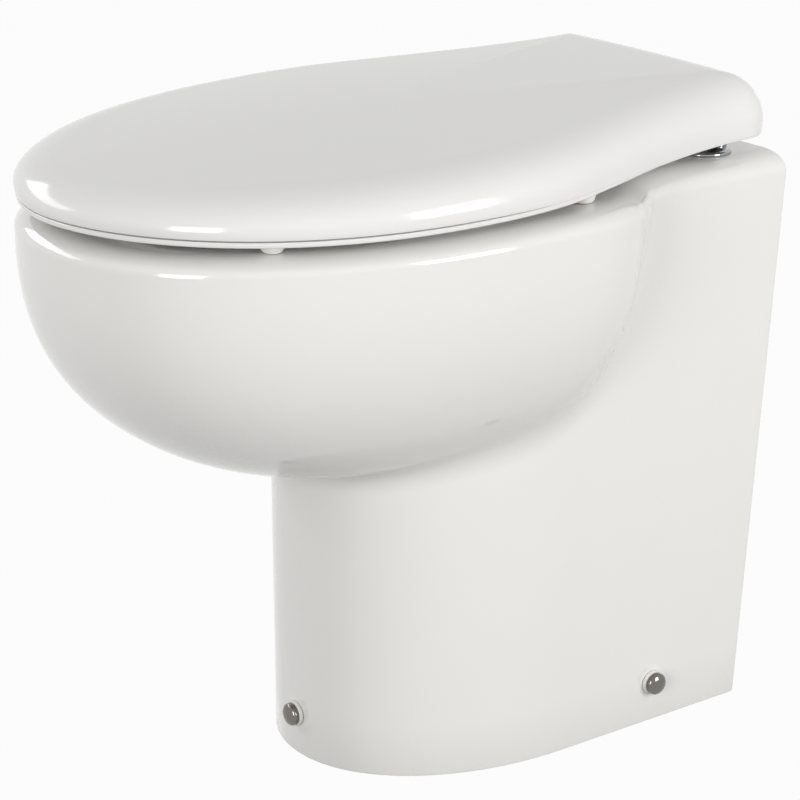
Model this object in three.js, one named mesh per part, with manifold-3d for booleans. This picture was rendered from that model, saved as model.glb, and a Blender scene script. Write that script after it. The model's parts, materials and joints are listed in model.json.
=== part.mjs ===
// Electric marine toilet: a glazed china bowl on a hollow pedestal, with a wrap-over lid,
// a seat ring, and a macerator pump and rinse valve inside the open back of the pedestal.
// Millimetres. +Z is up and the front of the bowl faces -Y.
// Every y below is measured from the bulkhead plane that the deck's back edge touches, forward
// being negative. The last line moves the whole object so that its middle lies over the origin.
import * as THREE from 'three';
import { mergeVertices } from 'three/addons/utils/BufferGeometryUtils.js';
import Module from 'manifold-3d';

const wasm = await Module();
wasm.setup();

// Clearances that every piece shares
const gap = 0.3;
const overrun = 2;
const turn = 2 * Math.PI;

// China: bowl, deck and pedestal
const china = {
  rimHeight: 400,
  bowlHalfWidth: 165,
  bowlFront: 248,
  bowlBack: 137.6,
  bowlCentre: -265.5,
  shell: 13,
  edgeRoundIn: 20,
  edgeRoundDown: 14,
  backRoundIn: 5,
  crease: 16,
  rimCrease: 46,
  creaseFade: 110,
  baseHalfWidth: 106,
  deckHalfWidth: 111,
  arcCentre: -182.8,
  noseReach: 151.8,
  backLean: 23.7,
  backCorner: 2.5,
  wall: 12,
  deckThickness: 14,
  rayCentre: -217.5,
};
const creaseReachShare = 1.5;
const planFrontPower = 2.2;
const planBackPower = 3.7;
const depthPower = 2.39;
const nosePower = 2.1;

// The mouth of the basin, its overhanging rim and its outlet
const basin = {
  rimSide: 47,
  rimFront: 48,
  rimBack: 41.6,
  lipRound: 4,
  lipDepth: 38,
  lipThickness: 7,
  roof: 14,
  outletBehind: 28,
  throatRadius: 24,
  spigotRadius: 31,
  spigotDrop: 34,
  rinseRadius: 10,
  rinseDrop: 31,
};
const mouthPower = 2.3;

// Lid
const lid = {
  backGap: 8,
  widestAhead: 24.3,
  frontOverhang: 1.5,
  sideOverhang: 3.1,
  backSetIn: 1.2,
  cornerRadius: 28.7,
  leastCorner: 4,
  backBow: 2.7,
  edgeHeight: 13.3,
  edgeInset: 0.5,
  widestUp: 4.6,
  roundIn: 36,
  roundUp: 15.9,
  backRise: 23.3,
  crown: 5,
  wall: 4.5,
};
const lidStationShares = [0, 0.14, 0.3, 0.46, 0.62, 0.8, 1];
const lidFlareShares = [0, 0.009, 0.158, 0.383, 0.645, 0.905, 1];
const lidFrontWidthPower = 1.857;
const lidFrontLengthPower = 2.348;
const lidCrownCentreShare = 0.55;
const lidCrownShares = [0.3, 0.6, 0.85];

// Seat ring
const seat = {
  height: 9,
  thickness: 18,
  lidClearance: 4.2,
  edgeUp: 4,
  edgeTuck: 1.5,
  flangeIn: 0.7,
  flangeBelow: 0.8,
  roundIn: 22,
  mouthSideIn: 11,
  mouthEndIn: 9,
  mouthRound: 7,
};

// Hinges: a pillar stands on an eccentric disc and carries a pin through both lugs
const hinge = {
  sideIn: 36,
  axisBack: 33.5,
  axisHeight: 32,
  pinRadius: 3,
  pinHeadRadius: 4.4,
  pinHeadLength: 2,
  barrelRadius: 8,
  barrelLength: 15,
  lugWidth: 10,
  pillarRadius: 7,
  discRadius: 19,
  discThickness: 2.8,
  discOffset: 12,
  boltRadius: 4,
  boltRise: 16,
  boltDrop: 34,
  holeRadius: 5.5,
  washerRadius: 13,
  washerThickness: 4,
  nutRadius: 8,
  nutHeight: 9,
  wingSpan: 34,
  wingHeight: 13,
  wingThickness: 3,
  swingClearance: 1,
};
const openDegrees = 95;

// Buffers
const buffer = {
  footRadius: 4.2,
  topRadius: 9,
  lidFromTip: 62,
  lidRadius: 5.5,
};
const bufferFrontShares = [0.679, -0.627];
const bufferRearShares = [0.8, 0.483];
const bufferLidShare = 0.357;

// Floor fixings: a bracket inside the wall, a screw through it and a chrome cap outside
const fixing = {
  height: 30.6,
  sideY: -104,
  collarRadius: 9,
  collarThickness: 2.4,
  capRadius: 7.9,
  capBase: 2.2,
  capDome: 3.6,
  capWall: 1.1,
  headRadius: 4.6,
  headHeight: 2.2,
  screwRadius: 2.5,
  screwReach: 22,
  chinaHoleRadius: 4,
  bracketHoleRadius: 3,
  bracketWidth: 28,
  bracketHeight: 46,
  bracketFoot: 28,
  bracketThickness: 3.5,
};

// Macerator pump: every length runs along the pump's axis, from the inlet back to the end cap
const pump = {
  axisHeight: 60,
  neckLength: 18,
  neckRadius: 24,
  neckBore: 19.5,
  chamberRadius: 46,
  chamberLength: 50,
  chamberWall: 5,
  portRadius: 16,
  portBore: 12,
  portRise: 22,
  plateThickness: 3,
  plateBore: 15,
  cutterRadius: 31,
  cutterThickness: 3,
  cutterWidth: 12,
  hubRadius: 9,
  impellerRadius: 36,
  impellerDisc: 3,
  vaneHeight: 12,
  vaneThickness: 3.4,
  shaftRadius: 5,
  shaftReach: 16,
  motorRadius: 38,
  motorLength: 74,
  motorFlange: 5,
  capLength: 11,
  capInset: 4,
  glandRadius: 7,
  glandLength: 13,
  glandBore: 3.2,
};
const vaneCount = 5;
const vaneBendShare = 0.55;
const plateShare = 0.36;
const glandNeckShare = 0.7;
const cutterSweepShare = 0.3;
const ventCount = 6;

// Mount under the pump
const base = {
  padHeight: 6,
  padWidth: 18,
  padIn: 9,
  plateThickness: 3,
  sideGap: 4,
  plateBehind: 32,
  plateLength: 118,
  saddleThickness: 6,
  saddleHalfWidth: 34,
  saddleRise: 26,
  saddleInset: 20,
};

// Rubber boot from the bowl's spigot to the pump
const boot = {
  wall: 4.4,
  drop: 118,
  sleeveLength: 30,
  taperLength: 16,
  bendRadius: 50,
  run: 0.5,
  pumpSleeve: 15,
};
const clamp = {
  thickness: 1.2,
  width: 11,
  boxLength: 16,
  boxWidth: 12,
  boxHeight: 8,
};

// Discharge: an elbow, a duckbill valve between two flanges, and a hose tail
const outlet = {
  socketWall: 3.2,
  socketLength: 14,
  bendRadius: 30,
  rise: 6,
  run: 14,
  flangeRadius: 28,
  flangeThickness: 6,
  bandWall: 3,
  bandLip: 4,
  billFlange: 3,
  billFlangeRadius: 24,
  billRadius: 14.5,
  billWall: 2.4,
  billLength: 26,
  billTip: 2.6,
  tailRadius: 19,
  tailBore: 16,
  tailLength: 46,
  barbHeight: 1.5,
  barbPitch: 9,
};
const barbCount = 3;

// Rinse valve and its hose
const valve = {
  wallClearance: 7.5,
  bodyWidth: 27,
  bodyLength: 36,
  bodyHeight: 28,
  centreY: -68,
  drop: 143,
  chamberRadius: 11,
  chamberDepth: 15,
  seatRadius: 7,
  discRadius: 10.4,
  discThickness: 2.5,
  discSeat: 9,
  coilLength: 26,
  coilSide: 26,
  plungerRadius: 5,
  plungerLength: 22,
  plungerTravel: 2.5,
  plungerOut: 4.5,
  barbRadius: 6,
  barbBore: 4,
  barbLength: 24,
  barbRidge: 0.7,
  bracketWidth: 20,
  bracketThickness: 2.5,
  tabReach: 6,
};
const discDishShare = 0.6;
const rinse = {
  flangeRadius: 13,
  flangeThickness: 3,
  tubeRadius: 6.5,
  bendRadius: 16,
  bendRun: 7,
  tailLength: 16,
  hoseRadius: 9.5,
  hoseWall: 2.6,
};
const hoseBulgeShare = 0.45;
const hoseGripShare = 0.7;

// Heights and places worked out from the sizes above
const widestZ = china.rimHeight - china.edgeRoundDown;
const spigotEndZ = pump.axisHeight + boot.drop;
const bowlBottomZ = spigotEndZ + basin.spigotDrop;
const deckUnderZ = china.rimHeight - china.deckThickness;
const chinaFrontY = china.bowlCentre - china.bowlFront;
const chinaBackY = china.bowlCentre + china.bowlBack;
const outletY = china.bowlCentre + basin.outletBehind;

const mouthHalfWidth = china.bowlHalfWidth - basin.rimSide;
const mouthFrontY = chinaFrontY + basin.rimFront;
const mouthHalfLength = (chinaBackY - basin.rimBack - mouthFrontY) / 2;
const mouthCentreY = mouthFrontY + mouthHalfLength;

const hingeX = china.deckHalfWidth - hinge.sideIn;
const hingeY = -hinge.axisBack;
const hingeZ = china.rimHeight + hinge.axisHeight;

const lidEdgeZ = china.rimHeight + lid.edgeHeight;
const lidTipY = chinaFrontY - lid.frontOverhang;
const overallLength = -lidTipY;
const lidWidestY = china.bowlCentre - lid.widestAhead;
const lidHalfWidth = china.bowlHalfWidth + lid.sideOverhang;
const lidBackHalf = china.deckHalfWidth - lid.backSetIn;

// How close to the hinge the lid's lower back edge stays, and how far forward it swings
const swingRadius = hinge.axisHeight - hinge.swingClearance;
const edgeDrop = hinge.axisHeight - lid.edgeHeight;
const edgeBack = Math.sqrt(swingRadius ** 2 - edgeDrop ** 2);
const openAngle = (openDegrees / 360) * turn;
const swingForward = edgeDrop * Math.sin(openAngle) - edgeBack * Math.cos(openAngle);

const seatBottomZ = china.rimHeight + seat.height;
const seatTopZ = seatBottomZ + seat.thickness;
const seatInset = lid.wall + seat.lidClearance;
const seatFlangeInset = lid.edgeInset + seat.flangeIn;
const seatFlangeZ = lidEdgeZ - seat.flangeBelow;
const seatBackY = hingeY - swingForward - hinge.swingClearance - lid.backBow;

const neckStart = outletY + boot.bendRadius + boot.run;
const plateHalfWidth = china.baseHalfWidth - china.wall - fixing.bracketFoot - base.sideGap;

// Solids from three.js geometry

function cleanIndex(geometry) {
  const index = [];
  const source = geometry.index.array;
  for (let i = 0; i < source.length; i += 3) {
    const [a, b, c] = [source[i], source[i + 1], source[i + 2]];
    if (a !== b && b !== c && c !== a) {
      index.push(a, b, c);
    }
  }
  return index;
}

function signedVolume(position, index) {
  let volume = 0;
  const [a, b, c] = [new THREE.Vector3(), new THREE.Vector3(), new THREE.Vector3()];
  for (let i = 0; i < index.length; i += 3) {
    a.fromArray(position, 3 * index[i]);
    b.fromArray(position, 3 * index[i + 1]);
    c.fromArray(position, 3 * index[i + 2]);
    volume += a.dot(b.cross(c));
  }
  return volume;
}

function solid(geometry) {
  const bare = geometry.clone();
  bare.deleteAttribute('normal');
  bare.deleteAttribute('uv');
  const merged = mergeVertices(bare);
  const index = cleanIndex(merged);
  const position = merged.attributes.position.array;
  if (signedVolume(position, index) < 0) {
    index.reverse();
  }
  const mesh = new wasm.Mesh({
    numProp: 3,
    vertProperties: new Float32Array(position),
    triVerts: new Uint32Array(index),
  });
  return new wasm.Manifold(mesh);
}

function geometryOf(manifold) {
  const mesh = manifold.getMesh();
  const geometry = new THREE.BufferGeometry();
  geometry.setAttribute('position', new THREE.BufferAttribute(mesh.vertProperties, 3));
  geometry.setIndex(new THREE.BufferAttribute(mesh.triVerts, 1));
  geometry.computeVertexNormals();
  return geometry;
}

function union(...solids) {
  return solids.reduce((all, next) => all.add(next));
}

function cut(body, ...tools) {
  return tools.reduce((left, tool) => left.subtract(tool), body);
}

// A box between two corners
function block(x0, x1, y0, y1, z0, z1) {
  const box = new THREE.BoxGeometry(x1 - x0, y1 - y0, z1 - z0);
  box.translate((x0 + x1) / 2, (y0 + y1) / 2, (z0 + z1) / 2);
  return solid(box);
}

// A revolved profile of [radius, distance along the axis], standing on a point
function turned(profile, axis, at, segments) {
  const points = profile.map(([radius, along]) => new THREE.Vector2(radius, along));
  const geometry = new THREE.LatheGeometry(points, segments);
  if (axis === 'z') {
    geometry.rotateX(Math.PI / 2);
  }
  if (axis === 'x') {
    geometry.rotateZ(-Math.PI / 2);
  }
  geometry.translate(...at);
  return solid(geometry);
}

function rod(radius, start, end, axis, at, segments) {
  return turned([[0, start], [radius, start], [radius, end], [0, end]], axis, at, segments);
}

function ring(inner, outer, start, end, axis, at, segments) {
  const profile = [[inner, start], [outer, start], [outer, end], [inner, end], [inner, start]];
  return turned(profile, axis, at, segments);
}

// A round pipe along a curve
function pipe(curve, radius, steps, sides) {
  const section = new THREE.Shape();
  section.absarc(0, 0, radius, 0, turn);
  const options = { steps, extrudePath: curve, curveSegments: sides / 2 };
  return solid(new THREE.ExtrudeGeometry(section, options));
}

// A round pipe in the middle plane, through stations of [y, z, angle it runs at]
function bentPipe(stations, radius, sides) {
  const rings = stations.map(([y, z, angle]) => Array.from({ length: sides }, (_, k) => {
    const a = (k / sides) * turn;
    const rise = radius * Math.sin(a);
    return new THREE.Vector3(
      radius * Math.cos(a),
      y - rise * Math.sin(angle),
      z + rise * Math.cos(angle),
    );
  }));
  return loft(rings, 'fan');
}

// The stations of a quarter bend between two running angles
function bendStations(y, z, radius, from, to, steps) {
  const side = Math.sign(to - from);
  const centreY = y - side * radius * Math.sin(from);
  const centreZ = z + side * radius * Math.cos(from);
  return Array.from({ length: steps + 1 }, (_, k) => {
    const angle = from + (to - from) * (k / steps);
    return [
      centreY + side * radius * Math.sin(angle),
      centreZ - side * radius * Math.cos(angle),
      angle,
    ];
  });
}

// A flat outline in Y and Z, given as a shape, between two values of x
function slabX(shape, x0, x1, curveSegments) {
  const options = { depth: x1 - x0, bevelEnabled: false, curveSegments };
  const geometry = new THREE.ExtrudeGeometry(shape, options);
  const [alongY, alongZ, alongX] = [
    new THREE.Vector3(0, 1, 0),
    new THREE.Vector3(0, 0, 1),
    new THREE.Vector3(1, 0, 0),
  ];
  geometry.applyMatrix4(new THREE.Matrix4().makeBasis(alongY, alongZ, alongX));
  geometry.translate(x0, 0, 0);
  return solid(geometry);
}

function polygon(points) {
  return new THREE.Shape(points.map(([u, v]) => new THREE.Vector2(u, v)));
}

function capFaces(ringPoints, first) {
  const contour = ringPoints.map((p) => new THREE.Vector2(p.x, p.y));
  const faces = THREE.ShapeUtils.triangulateShape(contour, []).flat();
  if (THREE.ShapeUtils.isClockWise(contour)) {
    faces.reverse();
  }
  return faces.map((k) => k + first);
}

function bandFaces(lower, upper, count) {
  const faces = [];
  for (let k = 0; k < count; k += 1) {
    const next = (k + 1) % count;
    faces.push(lower + k, lower + next, upper + next, lower + k, upper + next, upper + k);
  }
  return faces;
}

function fanFaces(count, first) {
  const faces = [];
  for (let k = 1; k < count - 1; k += 1) {
    faces.push(first, first + k, first + k + 1);
  }
  return faces;
}

// A skin over rings of equal count. Its ends are closed as plans, or as fans where they are
// upright, or else the last ring joins the first as a loop.
function loft(rings, ends = 'plan') {
  const count = rings[0].length;
  const position = rings.flat().flatMap((p) => [p.x, p.y, p.z]);
  const index = [];
  for (let r = 0; r < rings.length - 1; r += 1) {
    index.push(...bandFaces(r * count, (r + 1) * count, count));
  }
  const last = (rings.length - 1) * count;
  if (ends === 'loop') {
    index.push(...bandFaces(last, 0, count));
  }
  if (ends === 'fan') {
    index.push(...fanFaces(count, 0).reverse());
    index.push(...fanFaces(count, last));
  }
  if (ends === 'plan') {
    index.push(...capFaces(rings[0], 0).reverse());
    index.push(...capFaces(rings[rings.length - 1], last));
  }
  const geometry = new THREE.BufferGeometry();
  geometry.setAttribute('position', new THREE.Float32BufferAttribute(position, 3));
  geometry.setIndex(index);
  return solid(geometry);
}

const parts = new THREE.Group();

function add(name, manifold, [color, roughness, metalness]) {
  const material = new THREE.MeshStandardMaterial({ color, roughness, metalness });
  const mesh = new THREE.Mesh(geometryOf(manifold), material);
  mesh.name = name;
  parts.add(mesh);
}

const glaze = ['#F1F1EE', 0.08, 0];
const thermoset = ['#EDEDEA', 0.12, 0];
const softRubber = ['#E9E9E4', 0.5, 0];
const blackRubber = ['#2A2A2B', 0.75, 0];
const chrome = ['#C9CCCE', 0.08, 1];
const steel = ['#B7BABC', 0.3, 1];
const blackPlastic = ['#202123', 0.45, 0];
const greyPlastic = ['#8F9396', 0.5, 0];
const whitePlastic = ['#E6E6E2', 0.4, 0];
const motorPaint = ['#E4E4E0', 0.35, 0];

// Curves that shape the bowl and the lid

// A smooth curve through values at given stations, level at both ends
function shareAt(stations, values, s) {
  let i = 0;
  while (i < stations.length - 2 && s > stations[i + 1]) {
    i += 1;
  }
  const slope = (k) => {
    if (k === 0 || k === stations.length - 1) {
      return 0;
    }
    return (values[k + 1] - values[k - 1]) / (stations[k + 1] - stations[k - 1]);
  };
  const span = stations[i + 1] - stations[i];
  const t = Math.min(Math.max((s - stations[i]) / span, 0), 1);
  const [t2, t3] = [t * t, t * t * t];
  return (2 * t3 - 3 * t2 + 1) * values[i] + (t3 - 2 * t2 + t) * span * slope(i)
    + (3 * t2 - 2 * t3) * values[i + 1] + (t3 - t2) * span * slope(i + 1);
}

function signedPower(value, exponent) {
  return Math.sign(value) * Math.abs(value) ** exponent;
}

// How far out a point lies in the bowl's plan: 1 on its widest outline
function planGauge(x, y, inset = 0) {
  const ahead = y - china.bowlCentre;
  const n = ahead < 0 ? planFrontPower : planBackPower;
  const reach = (ahead < 0 ? china.bowlFront : china.bowlBack) - inset;
  const across = Math.abs(x) / (china.bowlHalfWidth - inset);
  return (across ** n + (Math.abs(ahead) / reach) ** n) ** (1 / n);
}

function bowlGauge(x, y, z) {
  const down = Math.max(widestZ - z, 0) / (widestZ - bowlBottomZ);
  return (planGauge(x, y) ** depthPower + down ** depthPower) ** (1 / depthPower);
}

function pedestalHalf(z) {
  return china.baseHalfWidth + (china.deckHalfWidth - china.baseHalfWidth) * (z / china.rimHeight);
}

// The back leans forward from the deck's edge to the floor
function backY(z) {
  return -china.backLean * (1 - Math.min(z / widestZ, 1));
}

function pedestalGauge(x, y, z) {
  const across = Math.abs(x) / pedestalHalf(z);
  const ahead = Math.max(china.arcCentre - y, 0) / china.noseReach;
  return (across ** nosePower + ahead ** nosePower) ** (1 / nosePower);
}

// A gauge turned into a length by dividing it by its own slope
function distance(gauge, x, y, z) {
  const step = gap;
  const here = gauge(x, y, z);
  const slope = Math.hypot(
    gauge(x + step, y, z) - here,
    gauge(x, y + step, z) - here,
    gauge(x, y, z + step) - here,
  ) / step;
  return (here - 1) / slope;
}

// The crease between bowl and pedestal is tight below and opens out toward the rim
function creaseAt(z) {
  const share = Math.max(z - china.rimHeight + china.creaseFade, 0) / china.creaseFade;
  return china.crease + (china.rimCrease - china.crease) * share * share;
}

// The china's skin: the bowl and the pedestal, run together by a concave crease
function chinaDistance(x, y, z) {
  const a = distance(pedestalGauge, x, y, z);
  const b = distance(bowlGauge, x, y, z);
  const crease = creaseAt(z);
  const near = Math.max(crease - Math.abs(a - b), 0) / crease;
  return Math.min(a, b) - near * near * (crease / 4);
}

const sideRays = 21;

// Ray directions that step evenly around the widest outline of the bowl
function rayAngles() {
  const fine = 400;
  const spread = [];
  let length = 0;
  let before = null;
  const startAngle = Math.atan2(-china.rayCentre - china.backLean, china.deckHalfWidth);
  for (let k = 0; k <= fine; k += 1) {
    const angle = startAngle - (k / fine) * (startAngle + Math.PI / 2);
    const [dx, dy] = [Math.cos(angle), Math.sin(angle)];
    const r = rootAlong((s) => Math.min(
      planGauge(dx * s, china.rayCentre + dy * s) - 1,
      pedestalGauge(dx * s, china.rayCentre + dy * s, china.rimHeight) - 1,
    ));
    const here = new THREE.Vector2(dx * r, dy * r);
    length += before ? here.distanceTo(before) : 0;
    before = here;
    spread.push([length, angle]);
  }
  const angles = [];
  for (let k = 0; k <= sideRays; k += 1) {
    const target = (k / sideRays) * length;
    const at = spread.findIndex(([l]) => l >= target * (1 - Number.EPSILON));
    angles.push(spread[at][1]);
  }
  return angles;
}

// The outermost zero of a function along a ray
function rootAlong(f) {
  let low = 0;
  let high = overallLength;
  for (let k = 0; k < 44; k += 1) {
    const middle = (low + high) / 2;
    if (f(middle) > 0) {
      high = middle;
    } else {
      low = middle;
    }
  }
  return low;
}

const angles = rayAngles();

// One level of the china's outside, from its back corner round the nose to the other corner
function chinaRing(z, inset) {
  const back = backY(z) - inset * (china.backRoundIn / china.edgeRoundIn);
  const half = pedestalHalf(z) - inset;
  const r = china.backCorner;
  const points = [];
  const cornerSteps = 3;
  for (let k = 0; k <= cornerSteps; k += 1) {
    const a = (k / cornerSteps) * (Math.PI / 2);
    points.push(new THREE.Vector3(half - r + r * Math.sin(a), back - r + r * Math.cos(a), z));
  }
  const first = Math.atan2(back - r - china.rayCentre, half);
  angles.slice(1).forEach((angle, k) => {
    const share = (k + 1) / sideRays;
    const aimed = angle + (first - angles[0]) * (1 - share) ** 4;
    const [dx, dy] = [Math.cos(aimed), Math.sin(aimed)];
    const reach = rootAlong((s) => chinaDistance(dx * s, china.rayCentre + dy * s, z) + inset);
    const isTip = k === sideRays - 1;
    points.push(new THREE.Vector3(isTip ? 0 : dx * reach, china.rayCentre + dy * reach, z));
  });
  const other = points.slice(0, -1).reverse().map((p) => new THREE.Vector3(-p.x, p.y, p.z));
  return points.concat(other);
}

// Levels crowd together where the underside of the bowl is almost flat
function chinaLevels() {
  const levels = [0, bowlBottomZ - china.crease * creaseReachShare];
  const creaseSteps = 4;
  for (let k = 1; k <= creaseSteps; k += 1) {
    levels.push(bowlBottomZ - china.crease * (1 - k / creaseSteps));
  }
  const bowlSteps = 9;
  for (let k = 1; k <= bowlSteps; k += 1) {
    const share = 1 - Math.cos((k / bowlSteps) * (Math.PI / 2));
    levels.push(bowlBottomZ + (widestZ - bowlBottomZ) * share);
  }
  return levels;
}

function chinaOutside() {
  const rings = chinaLevels().map((z) => chinaRing(z, 0));
  const roundSteps = 3;
  for (let k = 1; k <= roundSteps; k += 1) {
    const a = (k / roundSteps) * (Math.PI / 2);
    const z = widestZ + china.edgeRoundDown * Math.sin(a);
    rings.push(chinaRing(z, china.edgeRoundIn * (1 - Math.cos(a))));
  }
  return loft(rings);
}

// A rounded plan at one level: a half width, a front and a back reach, and a power for each
function roundPlan(z, centre, half, front, back, frontN, backN, count) {
  const points = [];
  for (let k = 0; k < count; k += 1) {
    const a = (k / count) * turn;
    const [s, c] = [Math.sin(a), Math.cos(a)];
    const n = s < 0 ? frontN : backN;
    const reach = s < 0 ? front : back;
    points.push(new THREE.Vector3(half * signedPower(c, 2 / n), centre + reach * signedPower(s, 2 / n), z));
  }
  return points;
}

function bowlRing(z, inset, count) {
  const depth = widestZ - bowlBottomZ - inset;
  const down = Math.min(Math.max(widestZ - z, 0) / depth, 1);
  const scale = (1 - down ** depthPower) ** (1 / depthPower);
  const half = (china.bowlHalfWidth - inset) * scale;
  const front = (china.bowlFront - inset) * scale;
  const back = (china.bowlBack - inset) * scale;
  return roundPlan(z, china.bowlCentre, half, front, back, planFrontPower, planBackPower, count);
}

// Levels of a bowl surface, down to a small flat at its bottom
function bowlRings(topZ, inset, steps, count) {
  const depth = widestZ - bowlBottomZ - inset;
  const rings = [];
  const flatShare = 0.06;
  for (let k = 0; k <= steps; k += 1) {
    const a = (k / steps) * (Math.PI / 2) * (1 - flatShare);
    const z = widestZ - depth * Math.sin(a);
    rings.push(bowlRing(Math.min(z, topZ), inset, count));
  }
  return rings;
}

function mouthRing(z, grow, count) {
  const half = mouthHalfWidth + grow;
  const reach = mouthHalfLength + grow;
  return roundPlan(z, mouthCentreY, half, reach, reach, mouthPower, mouthPower, count);
}

// The hollow of the basin: mouth, overhanging rim with its rinse channel, bowl and throat
function basinHollow() {
  const count = 32;
  const rim = china.rimHeight;
  const lipEnd = rim - basin.lipDepth;
  const roofZ = rim - basin.roof;
  const rings = [
    mouthRing(rim + overrun, basin.lipRound, count),
    mouthRing(rim, basin.lipRound, count),
    mouthRing(rim - basin.lipRound, 0, count),
    mouthRing(lipEnd, 0, count),
    mouthRing(lipEnd, basin.lipThickness, count),
    mouthRing(roofZ, basin.lipThickness, count),
    ...bowlRings(roofZ, china.shell, 7, count),
  ];
  const throatTop = bowlBottomZ + 2 * china.shell;
  const at = [0, outletY, 0];
  const throat = rod(basin.throatRadius, spigotEndZ - overrun, throatTop, 'z', at, 28);
  return union(loft(rings), throat);
}

// The hollow of the pedestal, open below and behind, with the bowl left standing in it
function pedestalHollow() {
  const count = 24;
  const plan = (z) => {
    const half = pedestalHalf(z) - china.wall;
    const nose = china.noseReach - china.wall;
    const points = [new THREE.Vector3(half, overrun, z)];
    for (let k = 0; k <= count; k += 1) {
      const a = (k / count) * Math.PI;
      const [s, c] = [Math.sin(a), Math.cos(a)];
      const x = half * signedPower(c, 2 / nosePower);
      points.push(new THREE.Vector3(x, china.arcCentre - nose * signedPower(s, 2 / nosePower), z));
    }
    points.push(new THREE.Vector3(-half, overrun, z));
    return points;
  };
  const hollow = loft([plan(-overrun), plan(deckUnderZ)]);
  const bowl = loft([bowlRing(china.rimHeight, 0, 32), ...bowlRings(widestZ, 0, 7, 32)]);
  return hollow.subtract(bowl);
}

function chinaHoles() {
  const holes = [1, -1].map((side) => {
    const at = [side * hingeX, hingeY, 0];
    return rod(hinge.holeRadius, deckUnderZ - overrun, china.rimHeight + overrun, 'z', at, 16);
  });
  const reach = Math.max(china.baseHalfWidth, china.deckHalfWidth) + overrun;
  const sideAt = [0, fixing.sideY, fixing.height];
  holes.push(rod(fixing.chinaHoleRadius, -reach, reach, 'x', sideAt, 12));
  const noseAt = [0, china.arcCentre - china.noseReach, fixing.height];
  holes.push(rod(fixing.chinaHoleRadius, -overrun, china.wall + overrun, 'y', noseAt, 12));
  const rinseAt = [0, chinaBackY, china.rimHeight - basin.rinseDrop];
  holes.push(rod(basin.rinseRadius, -china.shell - overrun, overrun, 'y', rinseAt, 16));
  return holes;
}

function makeChina() {
  const spigotAt = [0, outletY, 0];
  const spigotTop = bowlBottomZ + china.shell / 2;
  const spigot = rod(basin.spigotRadius, spigotEndZ, spigotTop, 'z', spigotAt, 28);
  const body = union(chinaOutside().subtract(pedestalHollow()), spigot);
  add('china_bowl', cut(body, basinHollow(), ...chinaHoles()), glaze);
}

// Lid

function lidHalfAt(y) {
  const share = (-lid.backGap - y) / (-lid.backGap - lidWidestY);
  const flare = shareAt(lidStationShares, lidFlareShares, share);
  return lidBackHalf + (lidHalfWidth - lidBackHalf) * flare;
}

// Half of the lid's outline, drawn in by an inset: back edge, corner, S-shaped side and nose
function lidOutline(inset, backInset, z) {
  const [backSteps, cornerSteps, sideSteps, noseSteps] = [1, 3, 7, 8];
  const back = -lid.backGap - backInset;
  const r = Math.max(lid.cornerRadius - inset, lid.leastCorner);
  const cornerHalf = lidHalfAt(back - r) - inset;
  const points = [];
  const put = (x, y) => points.push(new THREE.Vector3(x, y, z(y)));
  for (let k = 0; k < backSteps; k += 1) {
    const t = k / backSteps;
    put(t * (cornerHalf - r), back + lid.backBow * (1 - t * t));
  }
  for (let k = 0; k < cornerSteps; k += 1) {
    const a = (k / cornerSteps) * (Math.PI / 2);
    put(cornerHalf - r + r * Math.sin(a), back - r + r * Math.cos(a));
  }
  for (let k = 0; k < sideSteps; k += 1) {
    const y = back - r + (lidWidestY - back + r) * (k / sideSteps);
    put(lidHalfAt(y) - inset, y);
  }
  for (let k = 0; k <= noseSteps; k += 1) {
    const a = (k / noseSteps) * (Math.PI / 2);
    const x = (lidHalfWidth - inset) * Math.cos(a) ** (2 / lidFrontWidthPower);
    const reach = (lidWidestY - lidTipY - inset) * Math.sin(a) ** (2 / lidFrontLengthPower);
    put(k === noseSteps ? 0 : x, lidWidestY - reach);
  }
  const other = points.slice(1, -1).reverse().map((p) => new THREE.Vector3(-p.x, p.y, p.z));
  return points.concat(other);
}

// The lid is thicker at its back, so heights above its edge grow toward the hinges
function lidHeight(up) {
  const full = lid.widestUp + lid.roundUp;
  return (y) => lidEdgeZ + up + lid.backRise * ((y - lidTipY) / overallLength) * (up / full);
}

function lidTopRings(inset, wall, roundSteps) {
  const rings = [];
  for (let k = 0; k <= roundSteps; k += 1) {
    const a = (k / roundSteps) * (Math.PI / 2);
    const tuck = inset + (lid.roundIn - wall) * (1 - Math.cos(a));
    const up = lid.widestUp + (lid.roundUp - wall) * Math.sin(a);
    rings.push(lidOutline(tuck, tuck, lidHeight(up)));
  }
  return rings;
}

function crownRing(edge, share) {
  const middle = lidTipY * lidCrownCentreShare;
  const lift = lid.crown * (1 - (1 - share) ** 2);
  return edge.map((p) => new THREE.Vector3(
    p.x * (1 - share),
    middle + (p.y - middle) * (1 - share),
    p.z + lift - (p.y - middle) * share * lidSlope,
  ));
}

const lidSlope = lid.backRise / overallLength;

function lidOuter() {
  const rings = [lidOutline(lid.edgeInset, lid.edgeInset, () => lidEdgeZ), ...lidTopRings(0, 0, 4)];
  const edge = rings[rings.length - 1];
  lidCrownShares.forEach((share) => rings.push(crownRing(edge, share)));
  return loft(rings);
}

function lidInner() {
  const bottom = lidOutline(lid.wall, lid.wall, () => lidEdgeZ - overrun);
  return loft([bottom, ...lidTopRings(lid.wall, lid.wall, 3)]);
}

function lidUndersideZ(y) {
  return lidHeight(lid.widestUp + lid.roundUp - lid.wall)(y);
}

function eyeBore() {
  const reach = hingeX + hinge.barrelLength / 2 + hinge.lugWidth + overrun;
  return rod(hinge.pinRadius + gap, -reach, reach, 'x', [0, hingeY, hingeZ], 16);
}

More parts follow.
